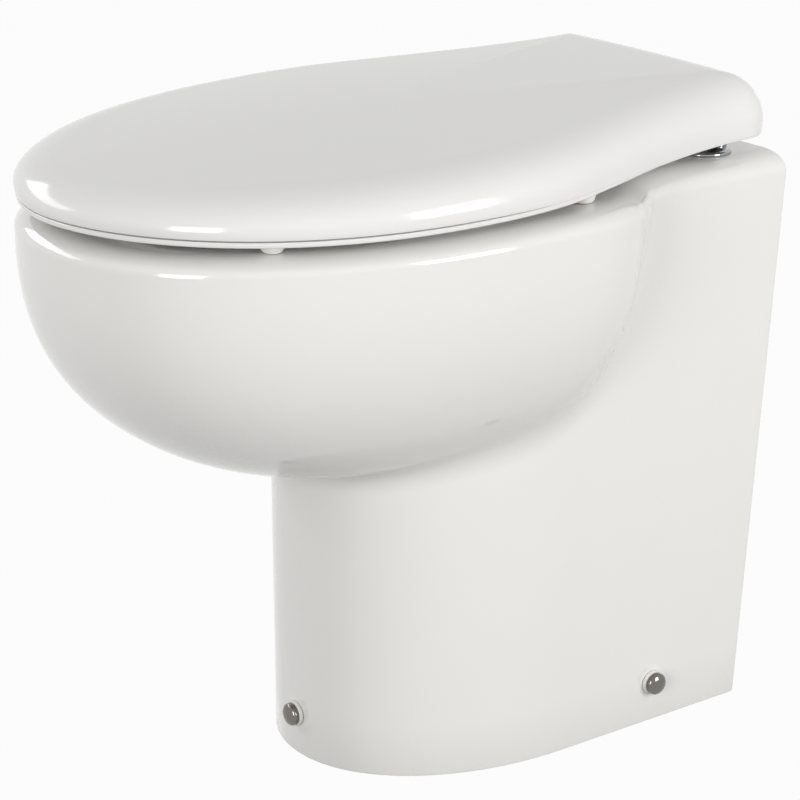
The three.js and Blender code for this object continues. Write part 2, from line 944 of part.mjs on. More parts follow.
function lidLug(side) {
  const near = hingeX + hinge.barrelLength / 2 + gap;
  const far = near + hinge.lugWidth;
  const r = hinge.barrelRadius;
  const top = lidUndersideZ(hingeY) + lid.wall / 2;
  const shape = polygon([
    [hingeY - r, hingeZ],
    [hingeY - r, top],
    [hingeY + r / 2, top],
    [hingeY + r, hingeZ],
  ]);
  const [x0, x1] = side > 0 ? [near, far] : [-far, -near];
  const eye = rod(r, x0, x1, 'x', [0, hingeY, hingeZ], 20);
  return union(slabX(shape, x0, x1, 1), eye);
}

// The rear wall is notched so that it swings past the hinge discs and pillars
function lidNotch(side) {
  const half = hinge.discRadius + hinge.lugWidth / 2;
  const centre = side * hingeX;
  const top = hingeZ + hinge.barrelRadius + lid.wall / 2;
  const front = hingeY + hinge.barrelRadius + overrun;
  return block(centre - half, centre + half, front, overrun, lidEdgeZ - overrun, top);
}

// The lower back edge is rounded off round the hinge, so that it clears the deck as it swings
function swingRelief() {
  const reach = lidHalfWidth;
  const behind = block(-reach, reach, hingeY, overrun, china.rimHeight, hingeZ);
  const kept = rod(swingRadius, -reach - overrun, reach + overrun, 'x', [0, hingeY, hingeZ], 48);
  return behind.subtract(kept);
}

function makeLid() {
  const outer = lidOuter();
  const shell = outer.subtract(lidInner());
  const lugs = union(lidLug(1), lidLug(-1)).intersect(outer);
  add('lid', cut(union(shell, lugs), lidNotch(1), lidNotch(-1), swingRelief(), eyeBore()), thermoset);
}

// Seat ring

function seatOutline(inset, z, backInset = inset) {
  return lidOutline(seatInset + inset, -lid.backGap - seatBackY + backInset, () => z);
}

// A mouth outline that lines up, point for point, with the outline around it
function seatMouth(around, grow, z) {
  const half = mouthHalfWidth - seat.mouthSideIn + grow;
  const reach = mouthHalfLength - seat.mouthEndIn + grow;
  return around.map((p) => {
    const [u, v] = [p.x / half, (p.y - mouthCentreY) / reach];
    const scale = (Math.abs(u) ** mouthPower + Math.abs(v) ** mouthPower) ** (-1 / mouthPower);
    return new THREE.Vector3(p.x * scale, mouthCentreY + (p.y - mouthCentreY) * scale, z);
  });
}

// The flange that closes the seat's lower edge lies flush under the lid's edge
function seatFlange(inset, z) {
  return seatOutline(seatFlangeInset - seatInset + inset, z, inset);
}

function seatRing() {
  const rings = [
    seatFlange(seat.edgeTuck, seatBottomZ),
    seatFlange(0, seatBottomZ + seat.edgeTuck),
    seatFlange(0, seatFlangeZ),
    seatOutline(0, seatBottomZ + seat.edgeUp),
  ];
  const outerSteps = 3;
  for (let k = 1; k <= outerSteps; k += 1) {
    const a = (k / outerSteps) * (Math.PI / 2);
    const z = seatBottomZ + seat.edgeUp + (seat.thickness - seat.edgeUp) * Math.sin(a);
    rings.push(seatOutline(seat.roundIn * (1 - Math.cos(a)), z));
  }
  const around = seatOutline(0, seatBottomZ);
  const mouthSteps = 3;
  for (let k = 0; k <= mouthSteps; k += 1) {
    const a = (k / mouthSteps) * (Math.PI / 2);
    const z = seatTopZ - seat.mouthRound * (1 - Math.cos(a));
    rings.push(seatMouth(around, seat.mouthRound * (1 - Math.sin(a)), z));
  }
  rings.push(seatMouth(around, seat.edgeTuck, seatBottomZ));
  return loft(rings, 'loop');
}

function seatLug(side) {
  const far = hingeX - hinge.barrelLength / 2 - gap;
  const near = far - hinge.lugWidth;
  const r = hinge.barrelRadius;
  const armFront = seatBackY - seat.roundIn;
  const shape = polygon([
    [hingeY, hingeZ - r],
    [hingeY, hingeZ + r],
    [armFront, seatTopZ - seat.edgeTuck],
    [armFront, seatBottomZ + seat.edgeUp],
    [hingeY - r, seatBottomZ + seat.edgeUp],
  ]);
  const [x0, x1] = side > 0 ? [near, far] : [-far, -near];
  const eye = rod(r, x0, x1, 'x', [0, hingeY, hingeZ], 20);
  return union(slabX(shape, x0, x1, 1), eye);
}

function makeSeat() {
  add('seat_ring', cut(union(seatRing(), seatLug(1), seatLug(-1)), eyeBore()), thermoset);
}

function makeBuffers() {
  const places = [['front', bufferFrontShares], ['rear', bufferRearShares]];
  const profile = [
    [0, gap],
    [buffer.footRadius, gap],
    [buffer.topRadius, seat.height - gap],
    [0, seat.height - gap],
  ];
  places.forEach(([place, [across, along]]) => [['left', -1], ['right', 1]].forEach(([hand, side]) => {
    const reach = along < 0 ? china.bowlFront : china.bowlBack;
    const at = [side * across * china.bowlHalfWidth, china.bowlCentre + along * reach, china.rimHeight];
    add(`seat_buffer_${place}_${hand}`, turned(profile, 'z', at, 16), softRubber);
  }));
  const padY = lidTipY + buffer.lidFromTip;
  const lidTop = lidUndersideZ(padY - buffer.lidRadius) - gap;
  [['left', -1], ['right', 1]].forEach(([hand, side]) => {
    const at = [side * bufferLidShare * lidHalfWidth, padY, 0];
    const pad = rod(buffer.lidRadius, seatTopZ + gap, lidTop, 'z', at, 14);
    add(`lid_buffer_${hand}`, pad, softRubber);
  });
}

// Hinges

function pillar(x) {
  const start = china.rimHeight + hinge.discThickness + 2 * gap;
  const post = rod(hinge.pillarRadius, start, hingeZ, 'z', [x, hingeY, 0], 16);
  const half = hinge.barrelLength / 2;
  const barrel = rod(hinge.barrelRadius, x - half, x + half, 'x', [0, hingeY, hingeZ], 16);
  const socketTop = china.rimHeight + hinge.boltRise + gap;
  const socket = rod(hinge.boltRadius + gap, start - overrun, socketTop, 'z', [x, hingeY, 0], 12);
  return cut(union(post, barrel), socket, eyeBore());
}

function wingNut(x) {
  const top = deckUnderZ - hinge.washerThickness - 2 * gap;
  const hub = rod(hinge.nutRadius, top - hinge.nutHeight, top, 'z', [x, hingeY, 0], 16);
  const [half, thick] = [hinge.wingSpan / 2, hinge.wingThickness / 2];
  const low = top - hinge.wingHeight;
  const wings = block(x - half, x + half, hingeY - thick, hingeY + thick, low, top - thick);
  const bore = rod(hinge.boltRadius + gap, low - overrun, top + overrun, 'z', [x, hingeY, 0], 12);
  return union(hub, wings).subtract(bore);
}

function hingePin(side) {
  const inner = hingeX - hinge.barrelLength / 2 - hinge.lugWidth;
  const outer = hingeX + hinge.barrelLength / 2 + hinge.lugWidth;
  const profile = [
    [0, inner - 2 * gap],
    [hinge.pinRadius, inner - 2 * gap],
    [hinge.pinRadius, outer + 2 * gap],
    [hinge.pinHeadRadius, outer + 2 * gap],
    [hinge.pinHeadRadius, outer + hinge.pinHeadLength],
    [0, outer + hinge.pinHeadLength],
  ];
  const along = profile.map(([radius, x]) => [radius, side * x]);
  return turned(along, 'x', [0, hingeY, hingeZ], 16);
}

function makeHinges() {
  [['left', -1], ['right', 1]].forEach(([hand, side]) => {
    const x = side * hingeX;
    const rim = china.rimHeight;
    const discAt = [x, hingeY - hinge.discOffset, rim];
    const edge = hinge.discThickness / 2;
    const disc = turned([
      [0, gap],
      [hinge.discRadius, gap],
      [hinge.discRadius, gap + edge],
      [hinge.discRadius - edge, gap + hinge.discThickness],
      [0, gap + hinge.discThickness],
    ], 'z', discAt, 28);
    const studHole = rod(hinge.boltRadius + gap, rim, hingeZ, 'z', [x, hingeY, 0], 12);
    add(`hinge_disc_${hand}`, disc.subtract(studHole), chrome);
    add(`hinge_pillar_${hand}`, pillar(x), chrome);
    add(`hinge_pin_${hand}`, hingePin(side), steel);
    const stud = rod(hinge.boltRadius, rim - hinge.boltDrop, rim + hinge.boltRise, 'z',
      [x, hingeY, 0], 12);
    add(`hinge_stud_${hand}`, stud, steel);
    const washerTop = deckUnderZ - gap;
    const washer = ring(hinge.boltRadius + gap, hinge.washerRadius,
      washerTop - hinge.washerThickness, washerTop, 'z', [x, hingeY, 0], 20);
    add(`hinge_washer_${hand}`, washer, blackRubber);
    add(`hinge_nut_${hand}`, wingNut(x), whitePlastic);
  });
}

// Floor fixings: made facing +X at the origin, then turned and moved to their wall

function fixingPieces(wallOut, wallIn) {
  const seatOut = wallOut + gap;
  const collarOut = seatOut + fixing.collarThickness;
  const at = [0, 0, fixing.height];
  const collar = ring(fixing.screwRadius + gap, fixing.collarRadius, seatOut, collarOut, 'x', at, 16);
  const headOut = collarOut + gap + fixing.headHeight;
  const screw = turned([
    [0, wallIn - fixing.screwReach],
    [fixing.screwRadius, wallIn - fixing.screwReach],
    [fixing.screwRadius, collarOut + gap],
    [fixing.headRadius, collarOut + gap],
    [fixing.headRadius, headOut],
    [0, headOut],
  ], 'x', at, 10);
  const capIn = collarOut + gap;
  const capProfile = (shrink, start) => {
    const r = fixing.capRadius - shrink;
    const top = capIn + fixing.capBase;
    const dome = fixing.capDome - shrink;
    const points = [[0, start], [r, start]];
    const steps = 3;
    for (let k = 0; k <= steps; k += 1) {
      const a = (k / steps) * (Math.PI / 2);
      points.push([k === steps ? 0 : r * Math.cos(a), top + dome * Math.sin(a)]);
    }
    return points;
  };
  const capSolid = turned(capProfile(0, capIn), 'x', at, 16);
  const capHollow = turned(capProfile(fixing.capWall, capIn - overrun), 'x', at, 10);
  const half = fixing.bracketWidth / 2;
  const plateOut = wallIn - gap;
  const plateIn = plateOut - fixing.bracketThickness;
  const upright = block(plateIn, plateOut, -half, half, 0, fixing.bracketHeight);
  const foot = block(plateOut - fixing.bracketFoot, plateOut, -half, half, 0,
    fixing.bracketThickness);
  const gusset = slabY(polygon([
    [plateOut - fixing.bracketFoot, fixing.bracketThickness / 2],
    [plateIn + fixing.bracketThickness / 2, fixing.bracketThickness / 2],
    [plateIn + fixing.bracketThickness / 2, fixing.bracketHeight],
  ]), half - fixing.bracketThickness, half);
  const boltHole = rod(fixing.bracketHoleRadius, plateIn - overrun, plateOut + overrun, 'x', at, 12);
  const floorHole = rod(fixing.bracketHoleRadius, -overrun, fixing.bracketThickness + overrun, 'z',
    [plateOut - fixing.bracketFoot / 2, 0, 0], 12);
  const bracket = cut(union(upright, foot, gusset), boltHole, floorHole);
  return { collar, screw, cap: capSolid.subtract(capHollow), bracket };
}

// A flat outline in X and Z between two values of y
function slabY(shape, y0, y1) {
  const geometry = new THREE.ExtrudeGeometry(shape, { depth: y1 - y0, bevelEnabled: false });
  geometry.rotateX(Math.PI / 2);
  geometry.translate(0, y1, 0);
  return solid(geometry);
}

function placed(manifold, angle, y) {
  const geometry = geometryOf(manifold);
  geometry.rotateZ(angle);
  geometry.translate(0, y, 0);
  return solid(geometry);
}

function makeFixings() {
  const sideOut = Math.max(
    pedestalHalf(fixing.height + fixing.collarRadius),
    pedestalHalf(fixing.height - fixing.collarRadius),
  );
  const sideIn = Math.min(pedestalHalf(0), pedestalHalf(fixing.bracketHeight)) - china.wall;
  const noseOut = china.noseReach;
  const noseIn = china.noseReach - china.wall - noseSagitta();
  const places = [
    ['right', 0, fixing.sideY, sideOut, sideIn],
    ['left', Math.PI, fixing.sideY, sideOut, sideIn],
    ['front', -Math.PI / 2, china.arcCentre, noseOut, noseIn],
  ];
  places.forEach(([place, angle, y, wallOut, wallIn]) => {
    const pieces = fixingPieces(wallOut, wallIn);
    add(`fixing_collar_${place}`, placed(pieces.collar, angle, y), whitePlastic);
    add(`fixing_screw_${place}`, placed(pieces.screw, angle, y), steel);
    add(`fixing_cap_${place}`, placed(pieces.cap, angle, y), chrome);
    add(`floor_bracket_${place}`, placed(pieces.bracket, angle, y), steel);
  });
}

// How far the inside of the nose falls back at the edges of its bracket
function noseSagitta() {
  const half = pedestalHalf(0) - china.wall;
  const reach = china.noseReach - china.wall;
  const across = fixing.bracketWidth / 2 / half;
  return reach * (1 - (1 - across ** nosePower) ** (1 / nosePower));
}

// Pump

const pumpAt = [0, 0, pump.axisHeight];
const chamberStart = neckStart + pump.neckLength;
const chamberEnd = chamberStart + pump.chamberLength;
const plateStart = chamberStart + pump.chamberWall + pump.chamberLength * plateShare;
const impellerStart = plateStart + pump.plateThickness + 2 * gap;
const impellerEnd = impellerStart + pump.vaneHeight + pump.impellerDisc;
const motorStart = chamberEnd + gap;
const motorEnd = motorStart + pump.motorLength;
const shaftStart = chamberStart + pump.chamberWall + overrun;
const portY = (impellerStart + impellerEnd) / 2;
const portTop = pump.axisHeight + pump.chamberRadius + pump.portRise;

function makeHousing() {
  const bead = pump.chamberWall / 2;
  const outside = turned([
    [0, neckStart],
    [pump.neckRadius - bead / 2, neckStart],
    [pump.neckRadius, neckStart + bead],
    [pump.neckRadius, chamberStart - bead],
    [pump.chamberRadius - bead, chamberStart],
    [pump.chamberRadius, chamberStart + bead],
    [pump.chamberRadius, chamberEnd - 2 * bead],
    [pump.chamberRadius + bead, chamberEnd - 2 * bead],
    [pump.chamberRadius + bead, chamberEnd],
    [0, chamberEnd],
  ], 'y', pumpAt, 24);
  const inside = turned([
    [0, neckStart - overrun],
    [pump.neckBore, neckStart - overrun],
    [pump.neckBore, chamberStart + pump.chamberWall],
    [pump.chamberRadius - pump.chamberWall, chamberStart + pump.chamberWall],
    [pump.chamberRadius - pump.chamberWall, chamberEnd + overrun],
    [0, chamberEnd + overrun],
  ], 'y', pumpAt, 24);
  const portAt = [0, portY, 0];
  const port = rod(pump.portRadius, pump.axisHeight, portTop, 'z', portAt, 20);
  const bore = rod(pump.portBore, pump.axisHeight, portTop + overrun, 'z', portAt, 16);
  add('pump_housing', cut(union(outside, port), inside, bore), blackPlastic);
}

// A blade with two swept wings on a hub
function makeCutter() {
  const start = shaftStart + overrun;
  const end = start + pump.cutterThickness;
  const r = pump.cutterRadius;
  const w = pump.cutterWidth;
  const sweep = w * cutterSweepShare;
  const blade = new THREE.Shape();
  blade.moveTo(-r, -sweep);
  blade.lineTo(0, -w / 2);
  blade.lineTo(r, -w / 2 - sweep);
  blade.lineTo(r, sweep);
  blade.lineTo(0, w / 2);
  blade.lineTo(-r, w / 2 + sweep);
  const wings = slabY(blade, start, end);
  const geometry = geometryOf(wings);
  geometry.translate(...pumpAt);
  const hub = rod(pump.hubRadius, start, end + pump.cutterThickness, 'y', pumpAt, 16);
  const bore = rod(pump.shaftRadius + gap, start - overrun, end + pump.hubRadius, 'y', pumpAt, 12);
  add('cutter_blade', union(solid(geometry), hub).subtract(bore), steel);
}

function makeWearPlate() {
  const outer = pump.chamberRadius - pump.chamberWall - gap;
  const plate = ring(pump.plateBore, outer, plateStart, plateStart + pump.plateThickness, 'y',
    pumpAt, 24);
  add('wear_plate', plate, steel);
}

// Backward-curved vanes, from the hub to the rim of the disc
function makeImpeller() {
  const discStart = impellerEnd - pump.impellerDisc;
  const disc = rod(pump.impellerRadius, discStart, impellerEnd, 'y', pumpAt, 28);
  const hub = rod(pump.hubRadius, impellerStart, impellerEnd, 'y', pumpAt, 16);
  const inner = pump.hubRadius - pump.vaneThickness / 2;
  const bend = pump.impellerRadius * vaneBendShare;
  const vanes = Array.from({ length: vaneCount }, (_, k) => {
    const shape = new THREE.Shape();
    const t = pump.vaneThickness;
    shape.moveTo(inner, 0);
    shape.quadraticCurveTo(bend, 0, bend + bend / 2, bend);
    shape.lineTo(bend + bend / 2 - t, bend + t / 2);
    shape.quadraticCurveTo(bend - t / 2, t, inner, t);
    const options = { depth: pump.vaneHeight + overrun / 2, bevelEnabled: false, curveSegments: 4 };
    const geometry = new THREE.ExtrudeGeometry(shape, options);
    geometry.rotateZ((k / vaneCount) * turn);
    geometry.rotateX(Math.PI / 2);
    geometry.translate(0, impellerStart + pump.vaneHeight + overrun / 2, pump.axisHeight);
    return solid(geometry);
  });
  const bore = rod(pump.shaftRadius + gap, impellerStart - overrun, impellerEnd + overrun, 'y',
    pumpAt, 12);
  add('impeller', union(disc, hub, ...vanes).subtract(bore), blackPlastic);
}

function makeShaft() {
  const end = motorStart + pump.shaftReach;
  const tip = pump.shaftRadius / 3;
  const shaft = turned([
    [0, shaftStart],
    [pump.shaftRadius - tip, shaftStart],
    [pump.shaftRadius, shaftStart + tip],
    [pump.shaftRadius, end],
    [0, end],
  ], 'y', pumpAt, 14);
  add('pump_shaft', shaft, steel);
}

function makeMotor() {
  const flangeRadius = pump.chamberRadius + pump.chamberWall / 2;
  const soft = pump.motorFlange / 2;
  const can = turned([
    [0, motorStart],
    [flangeRadius, motorStart],
    [flangeRadius, motorStart + pump.motorFlange],
    [pump.motorRadius, motorStart + pump.motorFlange + soft],
    [pump.motorRadius, motorEnd - soft],
    [pump.motorRadius - soft, motorEnd],
    [0, motorEnd],
  ], 'y', pumpAt, 24);
  const socketEnd = motorStart + pump.shaftReach + pump.shaftRadius / 2;
  const socket = rod(pump.shaftRadius + gap, motorStart - overrun, socketEnd, 'y', pumpAt, 12);
  add('motor_body', can.subtract(socket), motorPaint);
  const capStart = motorEnd + gap;
  const capEnd = capStart + pump.capLength;
  const capRadius = pump.motorRadius - pump.capInset;
  const endCap = turned([
    [0, capStart],
    [pump.motorRadius, capStart],
    [pump.motorRadius, capStart + pump.capInset],
    [capRadius, capEnd],
    [pump.hubRadius, capEnd],
    [pump.hubRadius, capEnd + pump.capInset],
    [0, capEnd + pump.capInset],
  ], 'y', pumpAt, 24);
  const vents = Array.from({ length: ventCount }, (_, k) => {
    const a = (k / ventCount) * turn + turn / ventCount / 2;
    const r = (capRadius + pump.hubRadius) / 2;
    const at = [r * Math.cos(a), 0, pump.axisHeight + r * Math.sin(a)];
    return rod(pump.glandBore, capEnd - pump.capInset, capEnd + overrun, 'y', at, 10);
  });
  add('motor_end_cap', cut(endCap, ...vents), blackPlastic);
}

function makeGland() {
  const y = motorEnd - 2 * pump.glandRadius;
  const foot = pump.axisHeight + pump.motorRadius + gap;
  const r = pump.glandRadius;
  const neck = r * glandNeckShare;
  const gland = turned([
    [pump.glandBore, foot],
    [r, foot],
    [r, foot + pump.glandLength / 2],
    [neck, foot + pump.glandLength / 2],
    [neck, foot + pump.glandLength],
    [pump.glandBore, foot + pump.glandLength],
    [pump.glandBore, foot],
  ], 'z', [0, y, 0], 12);
  add('cable_gland', gland, blackPlastic);
}

// Mount under the pump

function makePumpMount() {
  const plateZ = base.padHeight + gap;
  const plateStartY = neckStart + base.plateBehind;
  const plateEnd = plateStartY + base.plateLength;
  const padX = plateHalfWidth - base.padWidth / 2 - base.padIn;
  [['left', -1], ['right', 1]].forEach(([hand, side]) => {
    const [a, b] = [padX, padX + base.padWidth - gap];
    const [x0, x1] = side > 0 ? [a, b] : [-b, -a];
    const pad = block(x0, x1, plateStartY, plateEnd, 0, base.padHeight);
    add(`pump_pad_${hand}`, pad, blackRubber);
  });
  const top = plateZ + base.plateThickness;
  const plate = block(-plateHalfWidth, plateHalfWidth, plateStartY, plateEnd, plateZ, top);
  const cradle = rod(pump.motorRadius + gap, motorStart, motorEnd, 'y', pumpAt, 24);
  const firstY = motorStart + pump.motorFlange + base.saddleInset / 2;
  const lastY = motorEnd - base.saddleInset / 2 - base.saddleThickness;
  const saddles = [firstY, lastY].map((y) => block(-base.saddleHalfWidth, base.saddleHalfWidth, y,
    y + base.saddleThickness, top - base.plateThickness / 2, top + base.saddleRise));
  add('pump_base', union(plate, ...saddles).subtract(cradle), steel);
}

// Rubber boot: a sleeve round the spigot, a taper, a bend and a sleeve round the pump's neck

function makeBoot() {
  const sleeveBore = basin.spigotRadius + gap;
  const sleeveOut = sleeveBore + boot.wall;
  const bore = pump.neckRadius + gap;
  const outer = bore + boot.wall;
  const sleeveTop = spigotEndZ + boot.sleeveLength;
  const taperEnd = spigotEndZ - boot.taperLength;
  const at = [0, outletY, 0];
  const bendTop = pump.axisHeight + boot.bendRadius;
  const neckTip = neckStart + boot.pumpSleeve;
  const route = [
    [outletY, taperEnd, -Math.PI / 2],
    ...bendStations(outletY, bendTop, boot.bendRadius, -Math.PI / 2, 0, 6),
    [neckTip, pump.axisHeight, 0],
  ];
  const top = turned([
    [0, taperEnd - gap],
    [outer, taperEnd - gap],
    [sleeveOut, spigotEndZ],
    [sleeveOut, sleeveTop],
    [0, sleeveTop],
  ], 'z', at, 28);
  const topHollow = turned([
    [0, taperEnd - overrun],
    [bore, taperEnd - overrun],
    [bore, taperEnd],
    [sleeveBore - boot.wall, spigotEndZ - gap],
    [sleeveBore, spigotEndZ - gap],
    [sleeveBore, sleeveTop + overrun],
    [0, sleeveTop + overrun],
  ], 'z', at, 28);
  const bend = bentPipe(route, outer, 20);
  const bendHollow = bentPipe(route, bore, 16);
  const open = rod(bore, neckStart - gap, neckTip + overrun, 'y', pumpAt, 24);
  const shell = cut(union(top, bend), topHollow, bendHollow, open);
  add('outlet_boot', shell, blackRubber);
  addClamp('boot_clamp_upper', sleeveOut, 'z', [0, outletY, spigotEndZ + boot.sleeveLength / 2]);
  const clampY = neckStart + boot.pumpSleeve / 2;
  addClamp('boot_clamp_lower', outer, 'y', [0, clampY, pump.axisHeight]);
}

// A worm-drive clamp: a steel band with its screw box at one side
function addClamp(name, radius, axis, at) {
  const [x, y, z] = at;
  const inner = radius + gap;
  const outer = inner + clamp.thickness;
  const half = clamp.width / 2;
  const band = ring(inner, outer, -half, half, axis, at, 28);
  const near = outer - clamp.thickness / 2;
  const far = near + clamp.boxHeight;
  const [long, wide] = [clamp.boxLength / 2, clamp.boxWidth / 2];
  const box = axis === 'z'
    ? block(x - far, x - near, y - long, y + long, z - wide, z + wide)
    : block(x - far, x - near, y - wide, y + wide, z - long, z + long);
  add(name, union(band, box), steel);
}

// Discharge

const socketBore = pump.portRadius + gap;
const elbowRadius = socketBore + outlet.socketWall;
const bendStartZ = portTop + outlet.rise;
const outletZ = bendStartZ + outlet.bendRadius;
const elbowFlangeY = portY + outlet.bendRadius + outlet.run;
const billY = elbowFlangeY + outlet.flangeThickness + gap;
const tailY = billY + outlet.billFlange + gap;
const tailEndY = tailY + outlet.flangeThickness + outlet.tailLength;

function makeDischarge() {
  const socketZ = portTop - outlet.socketLength;
  const flangeEnd = elbowFlangeY + outlet.flangeThickness;
  const bend = bendStations(portY, bendStartZ, outlet.bendRadius, Math.PI / 2, 0, 5);
  const end = [flangeEnd, outletZ, 0];
  const outletAt = [0, 0, outletZ];
  const flange = rod(outlet.flangeRadius, elbowFlangeY, flangeEnd, 'y', outletAt, 24);
  const shell = bentPipe([[portY, socketZ, Math.PI / 2], ...bend, end], elbowRadius, 18);
  const body = union(shell, flange);
  const hollow = bentPipe([[portY, portTop, Math.PI / 2], ...bend, end], pump.portBore, 14);
  const socket = rod(socketBore, socketZ - overrun, portTop + gap, 'z', [0, portY, 0], 20);
  const mouth = rod(pump.portBore, flangeEnd - overrun, flangeEnd + overrun, 'y', outletAt, 14);
  add('discharge_elbow', cut(body, hollow, socket, mouth), blackPlastic);

  add('discharge_tail', hoseTail(), blackPlastic);
  add('duckbill_valve', duckbill(), blackRubber);
  const r = outlet.flangeRadius + gap;
  const [from, to] = [elbowFlangeY - gap, tailY + outlet.flangeThickness + gap];
  const band = turned([
    [r, from],
    [r - outlet.bandLip, from],
    [r - outlet.bandLip, from - outlet.bandWall],
    [r + outlet.bandWall, from - outlet.bandWall],
    [r + outlet.bandWall, to + outlet.bandWall],
    [r - outlet.bandLip, to + outlet.bandWall],
    [r - outlet.bandLip, to],
    [r, to],
    [r, from],
  ], 'y', outletAt, 24);
  add('discharge_band', band, steel);
}

function hoseTail() {
  const flangeEnd = tailY + outlet.flangeThickness;
  const profile = [[outlet.tailBore, tailY], [outlet.flangeRadius, tailY]];
  profile.push([outlet.flangeRadius, flangeEnd]);
  profile.push([outlet.tailRadius, flangeEnd]);
  for (let k = barbCount; k > 0; k -= 1) {
    const y = tailEndY - k * outlet.barbPitch;
    profile.push([outlet.tailRadius, y]);
    profile.push([outlet.tailRadius + outlet.barbHeight, y + outlet.barbHeight]);
    profile.push([outlet.tailRadius - outlet.barbHeight / 2, y + outlet.barbPitch - gap]);
  }
  profile.push([outlet.tailRadius - outlet.barbHeight, tailEndY]);
  profile.push([outlet.tailBore, tailEndY]);
  profile.push([outlet.tailBore, tailY]);
  return turned(profile, 'y', [0, 0, outletZ], 20);
}

// A rubber cone whose lips close to a slit, held by its flange
function duckbill() {
  const count = 20;
  const section = (y, halfX, halfZ) => Array.from({ length: count }, (_, k) => {
    const a = (k / count) * turn;
    return new THREE.Vector3(halfX * Math.cos(a), halfZ * Math.sin(a), y);
  });
  const [r, wall, tip] = [outlet.billRadius, outlet.billWall, outlet.billTip];
  const length = outlet.billLength;
  const skin = loft([
    section(0, r, r),
    section(outlet.billFlange, r, r),
    section(length, r, tip + wall / 2),
  ]);
  const hollow = loft([
    section(-overrun, r - wall, r - wall),
    section(outlet.billFlange, r - wall, r - wall),
    section(length + gap, r - wall, tip / 2),
  ]);
  const flange = ring(r - wall, outlet.billFlangeRadius, 0, outlet.billFlange, 'z', [0, 0, 0], 20);
  const whole = union(skin.subtract(hollow), flange);
  const geometry = geometryOf(whole);
  geometry.rotateX(-Math.PI / 2);
  geometry.translate(0, billY, outletZ);
  return solid(geometry);
}

// Rinse valve: the body holds a diaphragm, and the coil beside it holds the plunger

const valveZ = china.rimHeight - basin.rinseDrop - valve.drop;
const coilFar = valve.wallClearance + china.wall - pedestalHalf(valveZ);
const coilNear = coilFar + valve.coilLength;
const bodyFar = coilNear + gap;
const bodyNear = bodyFar + valve.bodyWidth;
const valveAt = [0, valve.centreY, valveZ];

function barbed(radius, bore, start, length, ridge) {
  const third = length / 3;
  return [
    [bore, start - overrun],
    [radius, start - overrun],
    [radius, start + third],
    [radius + ridge, start + third],
    [radius, start + 2 * third],
    [radius + ridge, start + 2 * third],
    [radius - ridge, start + length],
    [bore, start + length],
    [bore, start - overrun],
  ];
}

function makeValve() {
  const [halfY, halfZ] = [valve.bodyLength / 2, valve.bodyHeight / 2];
  const [y0, y1] = [valve.centreY - halfY, valve.centreY + halfY];
  const [z0, z1] = [valveZ - halfZ, valveZ + halfZ];
  const casing = block(bodyFar, bodyNear, y0, y1, z0, z1);
  const seatX = bodyFar + valve.discSeat + gap;
  const chamber = rod(valve.chamberRadius, bodyFar - overrun, seatX, 'x', valveAt, 20);
  const below = rod(valve.seatRadius, seatX - overrun, bodyFar + valve.chamberDepth, 'x', valveAt, 12);
  const portX = bodyFar + valve.chamberDepth / 2;
  const inletProfile = barbed(valve.barbRadius, valve.barbBore, y1, valve.barbLength, valve.barbRidge);
  const inlet = turned(inletProfile, 'y', [portX, 0, valveZ], 14);
  const inletBore = rod(valve.barbBore, valve.centreY, y1 + valve.barbLength + overrun, 'y',
    [portX, 0, valveZ], 10);
  const outProfile = barbed(valve.barbRadius, valve.barbBore, z1, valve.barbLength, valve.barbRidge);
  const outletBarb = turned(outProfile, 'z', [portX, valve.centreY, 0], 14);
  const outBore = rod(valve.barbBore, valveZ, z1 + valve.barbLength + overrun, 'z',
    [portX, valve.centreY, 0], 10);
  const body = cut(union(casing, inlet, outletBarb), chamber, below, inletBore, outBore);
  add('valve_body', body, whitePlastic);

  const side = valve.coilSide / 2;
  const coil = block(coilFar, coilNear, valve.centreY - side, valve.centreY + side,
    valveZ - side, valveZ + side);
  const plungerEnd = bodyFar + valve.plungerOut;
  const plungerStart = plungerEnd - valve.plungerLength;
  const tubeEnd = plungerStart - valve.plungerTravel - 2 * gap;
  const tube = rod(valve.plungerRadius + gap, tubeEnd, coilNear + overrun, 'x', valveAt, 14);
  add('valve_coil', coil.subtract(tube), blackPlastic);
  const plunger = rod(valve.plungerRadius, plungerStart, plungerEnd, 'x', valveAt, 14);
  add('valve_plunger', plunger, steel);
  const discEnd = bodyFar + valve.discSeat;
  const discStart = discEnd - valve.discThickness;
  const rimWidth = valve.discRadius - valve.plungerRadius;
  const diaphragm = turned([
    [0, discStart + valve.discThickness / 3],
    [valve.plungerRadius, discStart + valve.discThickness / 3],
    [valve.plungerRadius + rimWidth / 2, discStart + valve.discThickness * discDishShare],
    [valve.discRadius, discStart],
    [valve.discRadius, discEnd],
    [0, discEnd],
  ], 'x', valveAt, 20);
  add('valve_diaphragm', diaphragm, blackRubber);
  makeValveBracket(z0);
}

// A strip that stands on the pump's base and carries the valve on its top tab
function makeValveBracket(valveBottom) {
  const foot = base.padHeight + base.plateThickness + 2 * gap;
  const top = valveBottom - gap;
  const t = valve.bracketThickness;
  const halfWidth = valve.bracketWidth / 2;
  const x = -plateHalfWidth + valve.bracketWidth / 2;
  const [y0, y1] = [valve.centreY - halfWidth, valve.centreY + halfWidth];
  const upright = block(x - t, x, y0, y1, foot, top);
  const tab = block(x - t, bodyNear + valve.tabReach, y0, y1, top - t, top);
  const footTab = block(x - halfWidth, x, y0, y1, foot, foot + t);
  add('valve_bracket', union(upright, tab, footTab), steel);
}

// Rinse inlet on the back of the bowl, and the hose that feeds it

